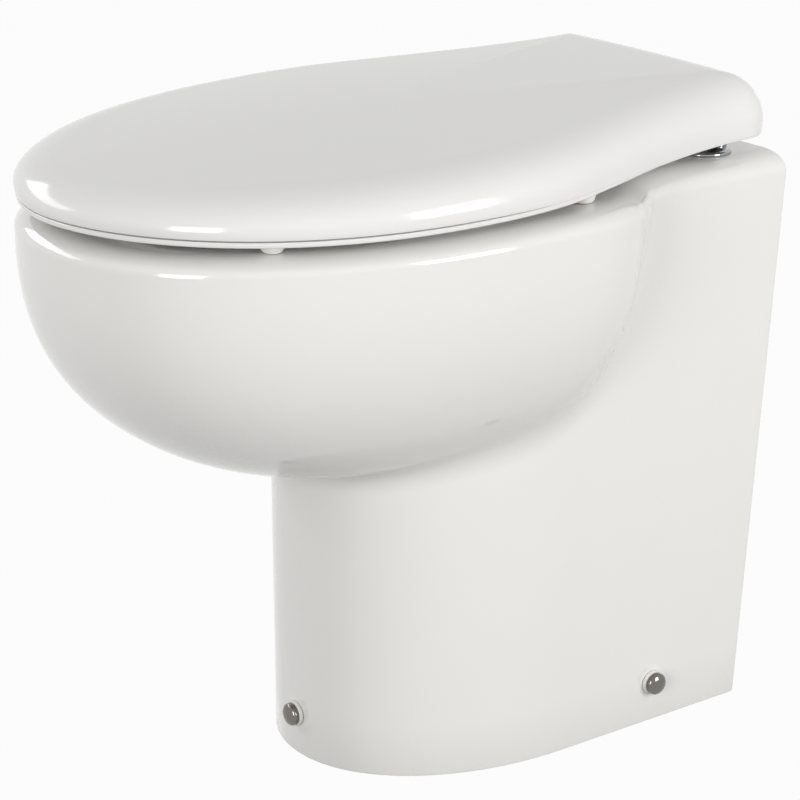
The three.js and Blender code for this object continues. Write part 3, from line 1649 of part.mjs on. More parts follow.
function makeRinse() {
  const z = china.rimHeight - basin.rinseDrop;
  const faceY = chinaBackY + gap;
  const flangeEnd = faceY + rinse.flangeThickness;
  const flange = rod(rinse.flangeRadius, faceY, flangeEnd, 'y', [0, 0, z], 20);
  const stub = rod(basin.rinseRadius - gap, faceY - china.shell, flangeEnd, 'y', [0, 0, z], 16);
  const bendY = flangeEnd + rinse.bendRun;
  const r = rinse.bendRadius;
  const lowY = bendY + r;
  const tubeEnd = z - r - rinse.tailLength;
  const elbow = bentPipe([
    [flangeEnd - rinse.flangeThickness / 2, z, 0],
    ...bendStations(bendY, z, r, 0, -Math.PI / 2, 5),
    [lowY, tubeEnd, -Math.PI / 2],
  ], rinse.tubeRadius, 14);
  const bore = rod(rinse.tubeRadius - rinse.hoseWall, faceY - china.shell - overrun, flangeEnd, 'y',
    [0, 0, z], 12);
  add('rinse_inlet', union(flange, stub, elbow).subtract(bore), whitePlastic);

  const barbX = bodyFar + valve.chamberDepth / 2;
  const barbTop = valveZ + valve.bodyHeight / 2 + valve.barbLength;
  const at = (x, y, height) => new THREE.Vector3(x, y, height);
  const grip = valve.barbLength * hoseGripShare;
  const [low, high] = [barbTop - grip, tubeEnd + rinse.tailLength * hoseGripShare];
  const [bendLow, bendHigh] = [barbTop + overrun, tubeEnd - overrun];
  const reach = (bendHigh - bendLow) * hoseBulgeShare;
  const route = new THREE.CurvePath();
  route.add(new THREE.LineCurve3(at(barbX, valve.centreY, low), at(barbX, valve.centreY, bendLow)));
  route.add(new THREE.CubicBezierCurve3(
    at(barbX, valve.centreY, bendLow),
    at(barbX, valve.centreY, bendLow + reach),
    at(0, lowY, bendHigh - reach),
    at(0, lowY, bendHigh),
  ));
  route.add(new THREE.LineCurve3(at(0, lowY, bendHigh), at(0, lowY, high)));
  const hose = pipe(route, rinse.hoseRadius, 12, 12);
  const hollow = pipe(route, rinse.hoseRadius - rinse.hoseWall, 12, 12);
  const plug = (x, y, radius, z0, z1) => rod(radius, z0, z1, 'z', [x, y, 0], 16);
  const barbRadius = valve.barbRadius + valve.barbRidge + gap;
  const barbFit = plug(barbX, valve.centreY, barbRadius, low - overrun, barbTop + gap);
  const inletFit = plug(0, lowY, rinse.tubeRadius + gap, tubeEnd - gap, high + overrun);
  add('rinse_hose', cut(hose, hollow, barbFit, inletFit), greyPlastic);
}

makeChina();
makeLid();
makeSeat();
makeBuffers();
makeHinges();
makeFixings();
makeHousing();
makeCutter();
makeWearPlate();
makeImpeller();
makeShaft();
makeMotor();
makeGland();
makePumpMount();
makeBoot();
makeDischarge();
makeValve();
makeRinse();

const toilet = new THREE.Group();
parts.position.y = overallLength / 2;
toilet.add(parts);

export default toilet;
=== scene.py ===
"""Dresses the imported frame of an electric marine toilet.

The china is one glazed casting: a pedestal with a hollow back, and an oval bowl that hangs out
over it. A wrap-over lid and a seat ring turn on two chrome hinges, and a macerator pump and a
rinse valve stand in the open back. Lengths are in metres, +Z is up and the front faces -Y.
"""

import json
import math

import bmesh
import bpy
import numpy as np
from mathutils import Matrix, Vector


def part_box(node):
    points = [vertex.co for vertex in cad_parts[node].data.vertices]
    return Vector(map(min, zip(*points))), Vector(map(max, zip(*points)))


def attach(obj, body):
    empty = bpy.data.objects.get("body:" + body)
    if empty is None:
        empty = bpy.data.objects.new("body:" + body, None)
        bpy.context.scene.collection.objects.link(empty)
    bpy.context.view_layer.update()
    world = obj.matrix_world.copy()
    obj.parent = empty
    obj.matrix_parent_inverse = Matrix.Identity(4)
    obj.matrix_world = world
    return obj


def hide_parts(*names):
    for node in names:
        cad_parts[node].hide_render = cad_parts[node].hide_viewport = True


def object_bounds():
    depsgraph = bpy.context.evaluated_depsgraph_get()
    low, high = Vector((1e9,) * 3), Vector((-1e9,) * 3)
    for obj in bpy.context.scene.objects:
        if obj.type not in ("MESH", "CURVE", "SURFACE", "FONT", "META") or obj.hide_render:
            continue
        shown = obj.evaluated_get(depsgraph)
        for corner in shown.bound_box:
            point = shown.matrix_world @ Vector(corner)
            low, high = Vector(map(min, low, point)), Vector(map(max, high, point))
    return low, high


bl_info = {
    "name": "Electric Marine Toilet",
    "version": (1, 0, 0),
    "blender": (4, 5, 0),
    "location": "View3D > Sidebar > Marine Toilet",
    "description": "Models and finishes the pieces of an electric marine toilet on its frame",
    "category": "Object",
}

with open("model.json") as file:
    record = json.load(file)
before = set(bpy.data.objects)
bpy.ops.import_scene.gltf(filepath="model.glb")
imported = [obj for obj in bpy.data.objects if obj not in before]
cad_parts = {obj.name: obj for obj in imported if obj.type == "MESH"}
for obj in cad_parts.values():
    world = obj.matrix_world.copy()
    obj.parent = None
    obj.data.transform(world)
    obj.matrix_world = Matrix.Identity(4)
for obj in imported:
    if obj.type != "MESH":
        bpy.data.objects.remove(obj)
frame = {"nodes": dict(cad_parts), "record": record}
cad_low, cad_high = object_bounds()

MM = 0.001
GAP = 0.3 * MM  # clearance round pins, screws and sleeves
OVERRUN = 2 * MM  # how far a cutting tool runs past what it cuts
QUARTER = math.pi / 2
TURN = 2 * math.pi
X, Y, Z = Vector((1, 0, 0)), Vector((0, 1, 0)), Vector((0, 0, 1))
MIRROR = Matrix.Diagonal((-1, 1, 1, 1))
BEVEL_ABOVE = math.radians(40)  # edges sharper than this are rounded
SMOOTH_BELOW = math.radians(35)  # edges flatter than this are shaded smooth

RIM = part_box("china_bowl")[1].z
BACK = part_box("china_bowl")[1].y
HINGE_X, HINGE_Y, HINGE_Z = 75 * MM, 224 * MM, 432 * MM  # middle of the right hinge's pin
HINGE = Vector((HINGE_X, HINGE_Y, HINGE_Z))
PUMP = Vector((0, 0, 60 * MM))  # a point on the line of the pump's shaft, which runs along Y
NUT_FACE = 129.9 * MM  # where the rinse inlet's nut bears on the bowl, along Y
PLATE = 3 * MM  # thickness of the plate under the pump

CHINA_RAYS = 84  # steps round half of the china's outline
BOWL_POINTS = 144  # points round the basin
BOWL_STEPS = 34  # levels from the basin's widest line to its bottom

# The lid's side flares out from its back, 0, to its widest point, 1, through these stations
LID_STATIONS = (0, 0.14, 0.3, 0.46, 0.62, 0.8, 1)
LID_FLARE = (0, 0.009, 0.158, 0.383, 0.645, 0.905, 1)
LID_WIDTH_POWER = 1.857
LID_LENGTH_POWER = 2.348
LID_CROWN_CENTRE = 0.55

WHITE = (1, 1, 1, 1)
FLOOR_SIZE = 60
FLOOR_GREY = "#8C8C8B"
FLOOR_SHARE = 0.965  # how much of the plain white backdrop the floor shows to the camera
ROOM_LIGHT = 0.41
AIM = Vector((0, -0.02, 0.28))
SOFTBOXES = (  # name, bearing, elevation, distance, width, height and watts
    ("softbox_front", -61, 10, 2.2, 0.75, 1.15, 18.5),
    ("softbox_right", 22, 13, 2.2, 0.75, 1.1, 24),
    ("softbox_left", -152, 28, 2.2, 2.0, 0.55, 10.5),
)
LENS, SENSOR = 117.1, 36  # in millimetres
CAMERA_PLACE = (1.3519, -0.9720, 0.8253)
CAMERA_VIEW = Vector((-0.7634, 0.5551, -0.3303))


def length(title, words, value):
    return bpy.props.FloatProperty(
        name=title, description=words, default=value, unit="LENGTH", precision=4
    )


def number(title, words, value):
    return bpy.props.FloatProperty(name=title, description=words, default=value)


def to_linear(hex_code):
    """An sRGB hex colour as linear red, green, blue and alpha."""
    channels = [int(hex_code[i : i + 2], 16) / 255 for i in (1, 3, 5)]
    linear = [c / 12.92 if c <= 0.04045 else ((c + 0.055) / 1.055) ** 2.4 for c in channels]
    return (*linear, 1.0)


def colour(title, words, hex_code):
    return bpy.props.FloatVectorProperty(
        name=title,
        description=words,
        default=to_linear(hex_code),
        subtype="COLOR",
        size=4,
        min=0.0,
        max=1.0,
    )


# Sizes and colours that a user would change


class ChinaSizes(bpy.types.PropertyGroup):
    bowl_half_width: length("Bowl half width", "Half the widest width of the bowl", 0.165)
    bowl_front: length("Bowl front", "From the widest point of the bowl to its nose", 0.248)
    bowl_back: length("Bowl back", "From the widest point of the bowl to its back", 0.1376)
    bowl_centre: length("Bowl centre", "Where the bowl is widest, along Y", -0.008)
    bowl_depth: length("Bowl depth", "From the rim to the lowest point of the bowl", 0.188)
    shell: length("Shell", "Thickness of the bowl's wall", 0.013)
    round_in: length("Rim rounding width", "How far the rim's edge rounds inward", 0.020)
    round_down: length("Rim rounding height", "How far the rim's edge rounds down", 0.014)
    round_front: length("Bowl edge height", "How far the bowl's own edge rounds down", 0.010)
    back_round: length("Deck back rounding", "Rounding along the deck's back edge", 0.005)
    crease: length("Crease", "Blend between the bowl's underside and the pedestal", 0.016)
    rim_crease: length("Rim crease", "Blend between the bowl and the deck at the rim", 0.046)
    crease_fade: length("Crease fade", "Height over which the crease opens out", 0.110)
    base_half: length("Foot half width", "Half width of the pedestal at the floor", 0.106)
    deck_half: length("Deck half width", "Half width of the pedestal at the rim", 0.111)
    arc_centre: length("Arc centre", "Where the pedestal's round nose starts, along Y", 0.0747)
    nose_reach: length("Nose reach", "Length of the pedestal's round nose", 0.1518)
    back_lean: length("Back lean", "How far the back leans forward at the floor", 0.0237)
    back_corner: length("Back corner", "Rounding of the two back corners", 0.0025)
    wall: length("Pedestal wall", "Thickness of the pedestal's wall", 0.012)
    deck: length("Deck thickness", "Thickness of the deck behind the bowl", 0.014)
    ray_centre: length("Ray centre", "Point inside the pedestal that levels are drawn from", 0.040)
    front_power: number("Front power", "How square the bowl's front is", 2.2)
    back_power: number("Back power", "How square the bowl's back is", 3.7)
    depth_power: number("Depth power", "How full the bowl's underside is", 2.39)
    nose_power: number("Nose power", "How square the pedestal's nose is", 2.1)


class BasinSizes(bpy.types.PropertyGroup):
    centre: length("Mouth centre", "Middle of the mouth, along Y", -0.060)
    half_width: length("Mouth half width", "Half the width of the mouth", 0.118)
    half_length: length("Mouth half length", "Half the length of the mouth", 0.148)
    power: number("Mouth power", "How square the mouth is", 2.3)
    lip_round: length("Lip rounding", "Rounding of the mouth's edge", 0.004)
    lip_depth: length("Lip depth", "How far the inner rim hangs down", 0.038)
    lip_thickness: length("Lip thickness", "Thickness of the hanging inner rim", 0.007)
    roof: length("Channel roof", "China above the rinse channel", 0.014)
    outlet_y: length("Outlet place", "Where the outlet is, along Y", 0.020)
    throat: length("Throat radius", "Radius of the outlet", 0.024)
    spigot: length("Spigot radius", "Radius of the outlet's spigot", 0.031)
    spigot_drop: length("Spigot drop", "How far the spigot hangs below the bowl", 0.034)
    rinse: length("Rinse hole radius", "Radius of the hole for the rinse inlet", 0.010)
    rinse_drop: length("Rinse hole drop", "From the rim down to the rinse hole", 0.031)


class LidSizes(bpy.types.PropertyGroup):
    back_gap: length("Back gap", "From the deck's back edge to the lid", 0.008)
    back_length: length("Back length", "From the lid's back edge to its widest point", 0.2818)
    front_reach: length("Front reach", "From the lid's widest point to its nose", 0.2252)
    half_width: length("Half width", "Half the widest width of the lid", 0.1681)
    back_half: length("Back half width", "Half the width of the lid at its back", 0.1098)
    corner: length("Corner", "Radius of the two back corners", 0.0287)
    least_corner: length("Least corner", "Smallest radius of an inner back corner", 0.004)
    bow: length("Back bow", "How far the back edge bows out", 0.0027)
    edge_height: length("Edge height", "From the china's rim to the lid's edge", 0.0133)
    edge_inset: length("Edge inset", "How far the lower edge tucks in", 0.0005)
    widest_up: length("Widest height", "From the lower edge to the widest line", 0.0046)
    round_in: length("Rounding width", "How far the upper edge rounds inward", 0.036)
    round_up: length("Rounding height", "How far the upper edge rounds up", 0.0159)
    back_rise: length("Back rise", "How much thicker the lid is at its back", 0.0233)
    crown: length("Crown", "How far the middle of the lid domes up", 0.005)
    wall: length("Wall", "Thickness of the lid's wall", 0.0045)


class SeatSizes(bpy.types.PropertyGroup):
    height: length("Seat height", "From the china's rim to the seat", 0.009)
    thickness: length("Thickness", "Thickness of the seat", 0.018)
    inset: length("Inset", "From the lid's outline to the seat's", 0.0087)
    back_inset: length("Back inset", "From the lid's back edge to the ring's", 0.050)
    flange_inset: length("Flange inset", "From the lid's outline to the flange's", 0.0012)
    flange_up: length("Flange height", "Height of the flange that closes the lower edge", 0.0035)
    flange_waist: length("Flange waist", "How much farther in the flange runs at the hinges", 0.015)
    edge_waist: length("Edge waist", "How much farther in the edge runs at the hinges", 0.0063)
    waist_start: length("Waist start", "Where the seat starts to draw in, along Y", -0.200)
    waist_end: length("Waist end", "Where the seat is drawn in all the way, along Y", 0.200)
    edge_up: length("Edge height", "Height of the seat's upright edge", 0.004)
    edge_tuck: length("Edge tuck", "How far the lower edges tuck in", 0.0015)
    round_in: length("Rounding width", "How far the upper edge rounds inward", 0.022)
    mouth_half_width: length("Mouth half width", "Half the opening's width", 0.107)
    mouth_half_length: length("Mouth half length", "Half the opening's length", 0.139)
    mouth_round: length("Mouth rounding", "Rounding of the opening's upper edge", 0.007)


class BufferSizes(bpy.types.PropertyGroup):
    nose: length("Nose radius", "Radius of a seat buffer above its rounded nose", 0.0072)
    top: length("Top radius", "Radius of a seat buffer where it meets the seat", 0.009)
    edge: length("Edge rounding", "Rounding of the buffers' edges", 0.0008)


class HingeSizes(bpy.types.PropertyGroup):
    pin: length("Pin radius", "Radius of the hinge pin", 0.003)
    pin_head: length("Pin head radius", "Radius of the pin's domed head", 0.0044)
    pin_head_length: length("Pin head length", "Length of the pin's domed head", 0.002)
    barrel: length("Barrel radius", "Radius of the pillar's barrel and of the lugs", 0.008)
    barrel_length: length("Barrel length", "Length of the pillar's barrel", 0.015)
    lug: length("Lug width", "Width of each lug on the lid and the seat", 0.010)
    pillar: length("Pillar radius", "Radius of the pillar's post", 0.007)
    waist: length("Pillar waist", "Radius of the pillar's post at its waist", 0.0062)
    bolt: length("Stud radius", "Radius of the stud through the deck", 0.004)
    thread: length("Thread pitch", "From one turn of the stud's thread to the next", 0.00125)
    hole: length("Deck hole radius", "Radius of the holes through the deck", 0.0055)
    hub: length("Wing nut hub", "Radius of the wing nut's hub", 0.008)
    wing: length("Wing thickness", "Thickness of the wing nut's wings", 0.003)
    swing: length("Swing radius", "How close the lid's lower back edge keeps to the hinge", 0.031)


class FixingSizes(bpy.types.PropertyGroup):
    cap_base: length("Cap base", "Height of the cap's upright edge", 0.0022)
    cap_wall: length("Cap wall", "Thickness of the cap's wall", 0.0011)
    screw: length("Screw radius", "Radius of the fixing screws", 0.0025)
    hole: length("China hole radius", "Radius of the holes through the china", 0.004)
    bracket_hole: length("Bracket hole radius", "Radius of the bracket's holes", 0.003)
    bracket: length("Bracket thickness", "Thickness of the floor brackets", 0.0035)


class PumpSizes(bpy.types.PropertyGroup):
    neck: length("Neck radius", "Radius of the pump's inlet neck", 0.024)
    neck_bore: length("Neck bore", "Radius of the bore in the neck", 0.0195)
    neck_length: length("Neck length", "Length of the pump's inlet neck", 0.018)
    chamber: length("Chamber radius", "Radius of the pump's chamber", 0.046)
    wall: length("Chamber wall", "Thickness of the chamber's wall", 0.005)
    port: length("Port radius", "Radius of the outlet port", 0.016)
    port_bore: length("Port bore", "Radius of the bore in the outlet port", 0.012)
    port_y: length("Port place", "Where the outlet port is, along Y", 0.1226)
    shaft: length("Shaft radius", "Radius of the shaft", 0.005)
    motor: length("Motor radius", "Radius of the motor's can", 0.038)
    flange: length("Motor flange", "Thickness of the motor's flange", 0.005)
    cap_inset: length("Cap inset", "How far the motor's end cap draws in", 0.004)
    hub: length("Cap hub", "Radius of the recess in the end cap", 0.009)
    vent: length("Vent radius", "Radius of the end cap's vents", 0.0032)
    screw: length("Screw head", "Radius of the heads of the pump's screws", 0.0034)


class PipeSizes(bpy.types.PropertyGroup):
    boot_wall: length("Boot wall", "Thickness of the rubber boot", 0.0044)
    boot_bend: length("Boot bend", "Radius of the boot's bend", 0.050)
    boot_sleeve: length("Boot sleeve", "Length of the sleeve round the spigot", 0.030)
    boot_taper: length("Boot taper", "Length of the taper below the spigot", 0.016)
    boot_grip: length("Boot grip", "Length of the sleeve round the pump's neck", 0.015)
    band: length("Clamp band", "Thickness of a clamp's band", 0.0012)
    band_width: length("Clamp width", "Width of a clamp's band", 0.011)
    worm: length("Worm radius", "Radius of a clamp's screw", 0.0032)
    elbow: length("Elbow radius", "Outer radius of the discharge elbow", 0.0195)
    elbow_bend: length("Elbow bend", "Radius of the discharge elbow's bend", 0.030)
    flange: length("Flange radius", "Radius of the flanges round the duckbill", 0.028)
    flange_thickness: length("Flange thickness", "Thickness of each flange", 0.006)
    tail: length("Tail radius", "Radius of the discharge tail", 0.019)
    tail_bore: length("Tail bore", "Radius of the bore in the tail", 0.016)
    barb: length("Barb height", "Height of the tail's barbs", 0.0015)
    barb_pitch: length("Barb pitch", "From one barb of the tail to the next", 0.009)


class ValveSizes(bpy.types.PropertyGroup):
    chamber: length("Chamber radius", "Radius of the valve's chamber", 0.011)
    chamber_depth: length("Chamber depth", "Depth of the valve's chamber", 0.015)
    seat_depth: length("Seat depth", "From the body's end to the diaphragm's seat", 0.0093)
    seat: length("Seat radius", "Radius of the diaphragm's seat", 0.007)
    barb: length("Barb radius", "Radius of the valve's two barbs", 0.006)
    barb_bore: length("Barb bore", "Radius of the bore in the barbs", 0.004)
    barb_length: length("Barb length", "Length of the valve's two barbs", 0.024)
    plunger: length("Plunger bore", "Radius of the coil's bore", 0.0053)
    strip: length("Strip thickness", "Thickness of the valve's bracket", 0.0025)
    tube: length("Inlet tube", "Radius of the rinse inlet's tube", 0.0065)
    tube_bend: length("Inlet bend", "Radius of the rinse inlet's bend", 0.016)
    tube_run: length("Inlet run", "From the inlet's nut to its bend", 0.007)
    nut: length("Inlet nut", "Thickness of the rinse inlet's nut", 0.003)
    hose: length("Hose radius", "Radius of the rinse hose", 0.0095)
    hose_wall: length("Hose wall", "Thickness of the rinse hose", 0.0026)
    hose_pitch: length("Hose rib pitch", "From one rib of the rinse hose to the next", 0.004)
    hose_rib: length("Hose rib depth", "Depth of the grooves between the ribs", 0.0007)


class Finishes(bpy.types.PropertyGroup):
    glaze: colour("Glaze", "White glaze on vitreous china", "#EFEEEB")
    thermoset: colour("Thermoset", "White moulded urea of the lid and seat", "#F0EFED")
    buffer: colour("Buffer", "Milky soft rubber of the buffers", "#ECECE8")
    black_rubber: colour("Black rubber", "Moulded black rubber", "#262627")
    hose_rubber: colour("Hose rubber", "Grey reinforced hose", "#8F9396")
    chrome: colour("Chrome", "Polished chrome plate", "#A6A8AA")
    # The screw caps' chrome, darkened below the hinges' chrome to paint in the reflection of a dim
    # room round the caps: painted reflection
    cap_chrome_painted_reflection: colour("Cap chrome", "Dark polished plate of the screw caps", "#7D7A74")
    steel: colour("Stainless steel", "Satin stainless steel", "#B9BCBE")
    black_plastic: colour("Black plastic", "Moulded glass-filled plastic", "#222325")
    white_plastic: colour("White plastic", "Moulded white acetal", "#E6E6E2")
    motor_paint: colour("Motor paint", "White stove enamel of the motor", "#E2E2DE")


GROUPS = (
    ("china", ChinaSizes),
    ("basin", BasinSizes),
    ("lid", LidSizes),
    ("seat", SeatSizes),
    ("buffers", BufferSizes),
    ("hinge", HingeSizes),
    ("fixing", FixingSizes),
    ("pump", PumpSizes),
    ("pipes", PipeSizes),
    ("valve", ValveSizes),
    ("finishes", Finishes),
)


def sizes(group):
    return getattr(bpy.context.scene.marine_toilet, group)


# Modelling helpers


def clear_selection():
    if bpy.context.mode != "OBJECT":
        bpy.ops.object.mode_set(mode="OBJECT")
    bpy.ops.object.select_all(action="DESELECT")


def pick(piece):
    clear_selection()
    piece.select_set(True)
    bpy.context.view_layer.objects.active = piece


def apply_modifier(piece, kind, **settings):
    pick(piece)
    modifier = piece.modifiers.new("Shape", kind)
    for key, value in settings.items():
        setattr(modifier, key, value)
    bpy.ops.object.modifier_apply(modifier=modifier.name)


def carve(piece, tool, operation="DIFFERENCE"):
    """Cuts a tool out of a piece, and removes the tool."""
    apply_modifier(piece, "BOOLEAN", object=tool, operation=operation, solver="EXACT")
    bpy.data.objects.remove(tool)


def weld(piece, tool):
    """Joins a tool onto a piece."""
    carve(piece, tool, "UNION")


def place_selected(piece, points):
    """Moves each selected vertex to the point that its place number names."""
    mesh = bmesh.from_edit_mesh(piece.data)
    layer = mesh.verts.layers.int["place"]
    for vert in mesh.verts:
        if vert.select:
            vert.co = points[vert[layer]]
    bmesh.update_edit_mesh(piece.data)


def select_open_edges(piece, near=None):
    """Selects the open edges, or only those at one place number's end of a skin."""
    bpy.ops.mesh.select_all(action="DESELECT")
    mesh = bmesh.from_edit_mesh(piece.data)
    for edge in mesh.edges:
        middle = (edge.verts[0].co + edge.verts[1].co) / 2
        if edge.is_boundary and (near is None or min((middle - p).length for p in near) < MM / 10):
            edge.select_set(True)
    bmesh.update_edit_mesh(piece.data)


def skin(name, rings, joined=False):
    """A skin drawn by extruding a circle of points from ring to ring."""
    clear_selection()
    bpy.ops.mesh.primitive_circle_add(vertices=len(rings[0]), radius=RIM)
    piece = bpy.context.object
    piece.name = name
    bpy.ops.object.mode_set(mode="EDIT")
    bpy.ops.mesh.select_mode(type="VERT")
    mesh = bmesh.from_edit_mesh(piece.data)
    layer = mesh.verts.layers.int.new("place")
    for index, vert in enumerate(mesh.verts):
        vert[layer] = index
    bmesh.update_edit_mesh(piece.data)
    place_selected(piece, rings[0])
    for ring in rings[1:]:
        bpy.ops.mesh.extrude_region_move()
        place_selected(piece, ring)
    bpy.ops.mesh.select_mode(type="EDGE")
    if joined:
        select_open_edges(piece)
        bpy.ops.mesh.bridge_edge_loops()
    else:
        for end in (rings[0], rings[-1]):
            middles = [(end[k - 1] + end[k]) / 2 for k in range(len(end))]
            select_open_edges(piece, middles)
            bpy.ops.mesh.edge_face_add()
    bpy.ops.mesh.select_all(action="SELECT")
    bpy.ops.mesh.normals_make_consistent(inside=False)
    bpy.ops.object.mode_set(mode="OBJECT")
    return piece


def rod(name, radius, start, end, vertices=64):
    """A round bar between two points."""
    clear_selection()
    start, end = Vector(start), Vector(end)
    bpy.ops.mesh.primitive_cylinder_add(
        vertices=vertices, radius=radius, depth=(end - start).length, location=(start + end) / 2
    )
    bar = bpy.context.object
    bar.name = name
    bar.rotation_mode = "QUATERNION"
    bar.rotation_quaternion = (end - start).to_track_quat("Z", "Y")
    bpy.ops.object.transform_apply(location=True, rotation=True, scale=True)
    return bar


def bar(name, radius, axis, spot, start, end, vertices=64):
    """A round bar along X, Y or Z through a spot, from one value on that axis to another."""
    ends = [Vector(spot), Vector(spot)]
    for point, value in zip(ends, (start, end)):
        point["XYZ".index(axis)] = value
    return rod(name, radius, *ends, vertices)


def bore(piece, radius, axis, spot, start, end, vertices=64):
    """Drills a round hole along X, Y or Z into a piece."""
    carve(piece, bar("drill", radius, axis, spot, start, end, vertices))


def block(name, low, high):
    """A box between two corners."""
    clear_selection()
    low, high = Vector(low), Vector(high)
    bpy.ops.mesh.primitive_cube_add(size=1, location=(low + high) / 2)
    box = bpy.context.object
    box.name = name
    box.scale = high - low
    bpy.ops.object.transform_apply(location=True, rotation=True, scale=True)
    return box


def turned(name, profile, axis, centre, steps=64):
    """A profile of (radius, distance along the axis) spun round an axis through a point."""
    clear_selection()
    axis, centre = Vector(axis), Vector(centre)
    side = Vector((0, 0, 1)) if abs(axis.z) < 0.5 else Vector((1, 0, 0))
    points = [centre + side * radius + axis * along for radius, along in profile]
    bpy.ops.mesh.primitive_plane_add(size=MM)
    piece = bpy.context.object
    piece.name = name
    bpy.ops.object.mode_set(mode="EDIT")
    bpy.ops.mesh.select_mode(type="VERT")
    bpy.ops.mesh.merge(type="CENTER")
    for index, point in enumerate(points):
        if index:
            bpy.ops.mesh.extrude_region_move()
        mesh = bmesh.from_edit_mesh(piece.data)
        for vert in mesh.verts:
            if vert.select:
                vert.co = point
        bmesh.update_edit_mesh(piece.data)
    bpy.ops.mesh.select_all(action="SELECT")
    bpy.ops.mesh.spin(steps=steps, angle=TURN, center=centre, axis=axis)
    bpy.ops.mesh.select_all(action="SELECT")
    bpy.ops.mesh.remove_doubles(threshold=MM / 100)
    bpy.ops.mesh.normals_make_consistent(inside=False)
    bpy.ops.object.mode_set(mode="OBJECT")
    return piece


def soften(piece, width, segments=2):
    """Rounds the sharp edges of a piece."""
    limit = {"limit_method": "ANGLE", "angle_limit": BEVEL_ABOVE}
    apply_modifier(piece, "BEVEL", width=width, segments=segments, **limit)
    return piece


def twin(piece, name, change):
    """A copy with its own mesh, carried to its place."""
    pick(piece)
    bpy.ops.object.duplicate()
    copy = bpy.context.object
    copy.name = name
    copy.data.transform(change)
    if change.determinant() < 0:
        copy.data.flip_normals()
    return copy


def gather(name, *parts):
    """Joins loose parts that don't touch into one object."""
    clear_selection()
    for part in parts:
        part.select_set(True)
    bpy.context.view_layer.objects.active = parts[0]
    if len(parts) > 1:
        bpy.ops.object.join()
    parts[0].name = name
    return parts[0]


def extent(node):
    """The low corner, the high corner and the middle of a CAD node's box."""
    low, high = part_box(node)
    return low, high, (low + high) / 2


def middle_of(node):
    return extent(node)[2]


def shift_to(first, other, angle=0.0):
    """The turn about Z and the move that carry one CAD node's middle to another's."""
    spin = Matrix.Rotation(angle, 4, "Z")
    return Matrix.Translation(middle_of(other) - spin @ middle_of(first)) @ spin


def slab(name, outline, start, end, along_x=True):
    """A flat outline of (across, height) pairs, extruded along X or along Y."""

    def level(reach):
        if along_x:
            return [Vector((reach, across, up)) for across, up in outline]
        return [Vector((across, reach, up)) for across, up in outline]

    return skin(name, [level(start), level(end)])


def shift_about(centre, angle, axis="Z"):
    """A turn about an axis through a point."""
    spin = Matrix.Rotation(angle, 4, axis)
    return Matrix.Translation(centre) @ spin @ Matrix.Translation(-Vector(centre))


def tube_rings(route, radii, count=48):
    """Circles round a route, each square to it and none turned against the next."""
    rings = []
    side = Vector(X)
    for k, centre in enumerate(route):
        ahead = (route[min(k + 1, len(route) - 1)] - route[max(k - 1, 0)]).normalized()
        side = (side - ahead * side.dot(ahead)).normalized()
        up = ahead.cross(side)
        turns = [TURN * n / count for n in range(count)]
        rings.append([centre + (side * math.cos(a) + up * math.sin(a)) * radii[k] for a in turns])
    return rings


def arc(y, z, radius, start, end, steps):
    """Points on an arc in the plane X = 0, round a centre."""
    return [Vector((0, y + radius * math.cos(a), z + radius * math.sin(a)))
            for a in np.linspace(start, end, steps + 1)]


def line(y, *levels):
    """Points on an upright line in the plane X = 0."""
    return [Vector((0, y, z)) for z in levels]


def quarter_round(steps, first=0):
    """Steps round a quarter circle, as how far in and how far up, each from 0 to 1."""
    return [(1 - math.cos(a), math.sin(a)) for a in np.linspace(0, QUARTER, steps + 1)[first:]]


def round_row(part, name, count, centre, axis):
    """A part repeated round an axis, gathered as one object."""
    copies = [twin(part, name, shift_about(centre, k / count * TURN, axis))
              for k in range(1, count)]
    return gather(name, part, *copies)


def hoop(inner, outer, half):
    """The profile of a flat hoop, for turning."""
    return [(inner, -half), (outer, -half), (outer, half), (inner, half), (inner, -half)]


def hex_screw(name, seat, axis, radius, height):
    """A socket screw with a hexagon head on a washer, standing on a point."""
    wide, thick = radius * 1.25, height * 0.2
    screw = turned(name, [(0, 0), (wide, 0), (wide, thick), (0, thick)], axis, seat)
    top = seat + axis * height
    head = rod("head", radius, seat + axis * height * 0.1, top, 6)
    weld(screw, soften(head, radius * 0.12))
    carve(screw, rod("socket", radius * 0.45, top - axis * height * 0.4, top + axis * height, 6))
    return screw


def dress(piece, body, slot, *nodes, finish=None):
    """Gives a finished piece its shading, finish, body and the CAD nodes it stands for."""
    pick(piece)
    bpy.ops.object.transform_apply(location=True, rotation=True, scale=True)
    bpy.ops.object.shade_smooth_by_angle(angle=SMOOTH_BELOW)
    piece.data.materials.clear()
    piece.data.materials.append(material_for(finish or slot))
    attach(piece, body)
    if nodes:
        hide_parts(*nodes)


def dress_pair(right, name, body, slot, node):
    """Dresses a piece for the right side, and its mirror image for the left."""
    left = twin(right, f"{name}_left", MIRROR)
    right.name = f"{name}_right"
    dress(right, body, slot, f"{node}_right")
    dress(left, body, slot, f"{node}_left")


# Shapes of the bowl and the lid


def plan_gauge(x, y, s, inset=0.0):
    """How far out points lie in the bowl's plan: 1 on its widest outline."""
    ahead = y - s.bowl_centre
    power = np.where(ahead < 0, s.front_power, s.back_power)
    reach = np.where(ahead < 0, s.bowl_front, s.bowl_back) - inset
    across = np.abs(x) / (s.bowl_half_width - inset)
    return (across**power + (np.abs(ahead) / reach) ** power) ** (1 / power)


def bowl_gauge(x, y, z, s):
    """How far out points lie from the bowl's middle: 1 on its underside."""
    widest = RIM - s.round_down
    down = np.maximum(widest - z, 0) / (widest - (RIM - s.bowl_depth))
    n = s.depth_power
    return (plan_gauge(x, y, s) ** n + down**n) ** (1 / n)


def pedestal_half(z, s):
    return s.base_half + (s.deck_half - s.base_half) * (z / RIM)


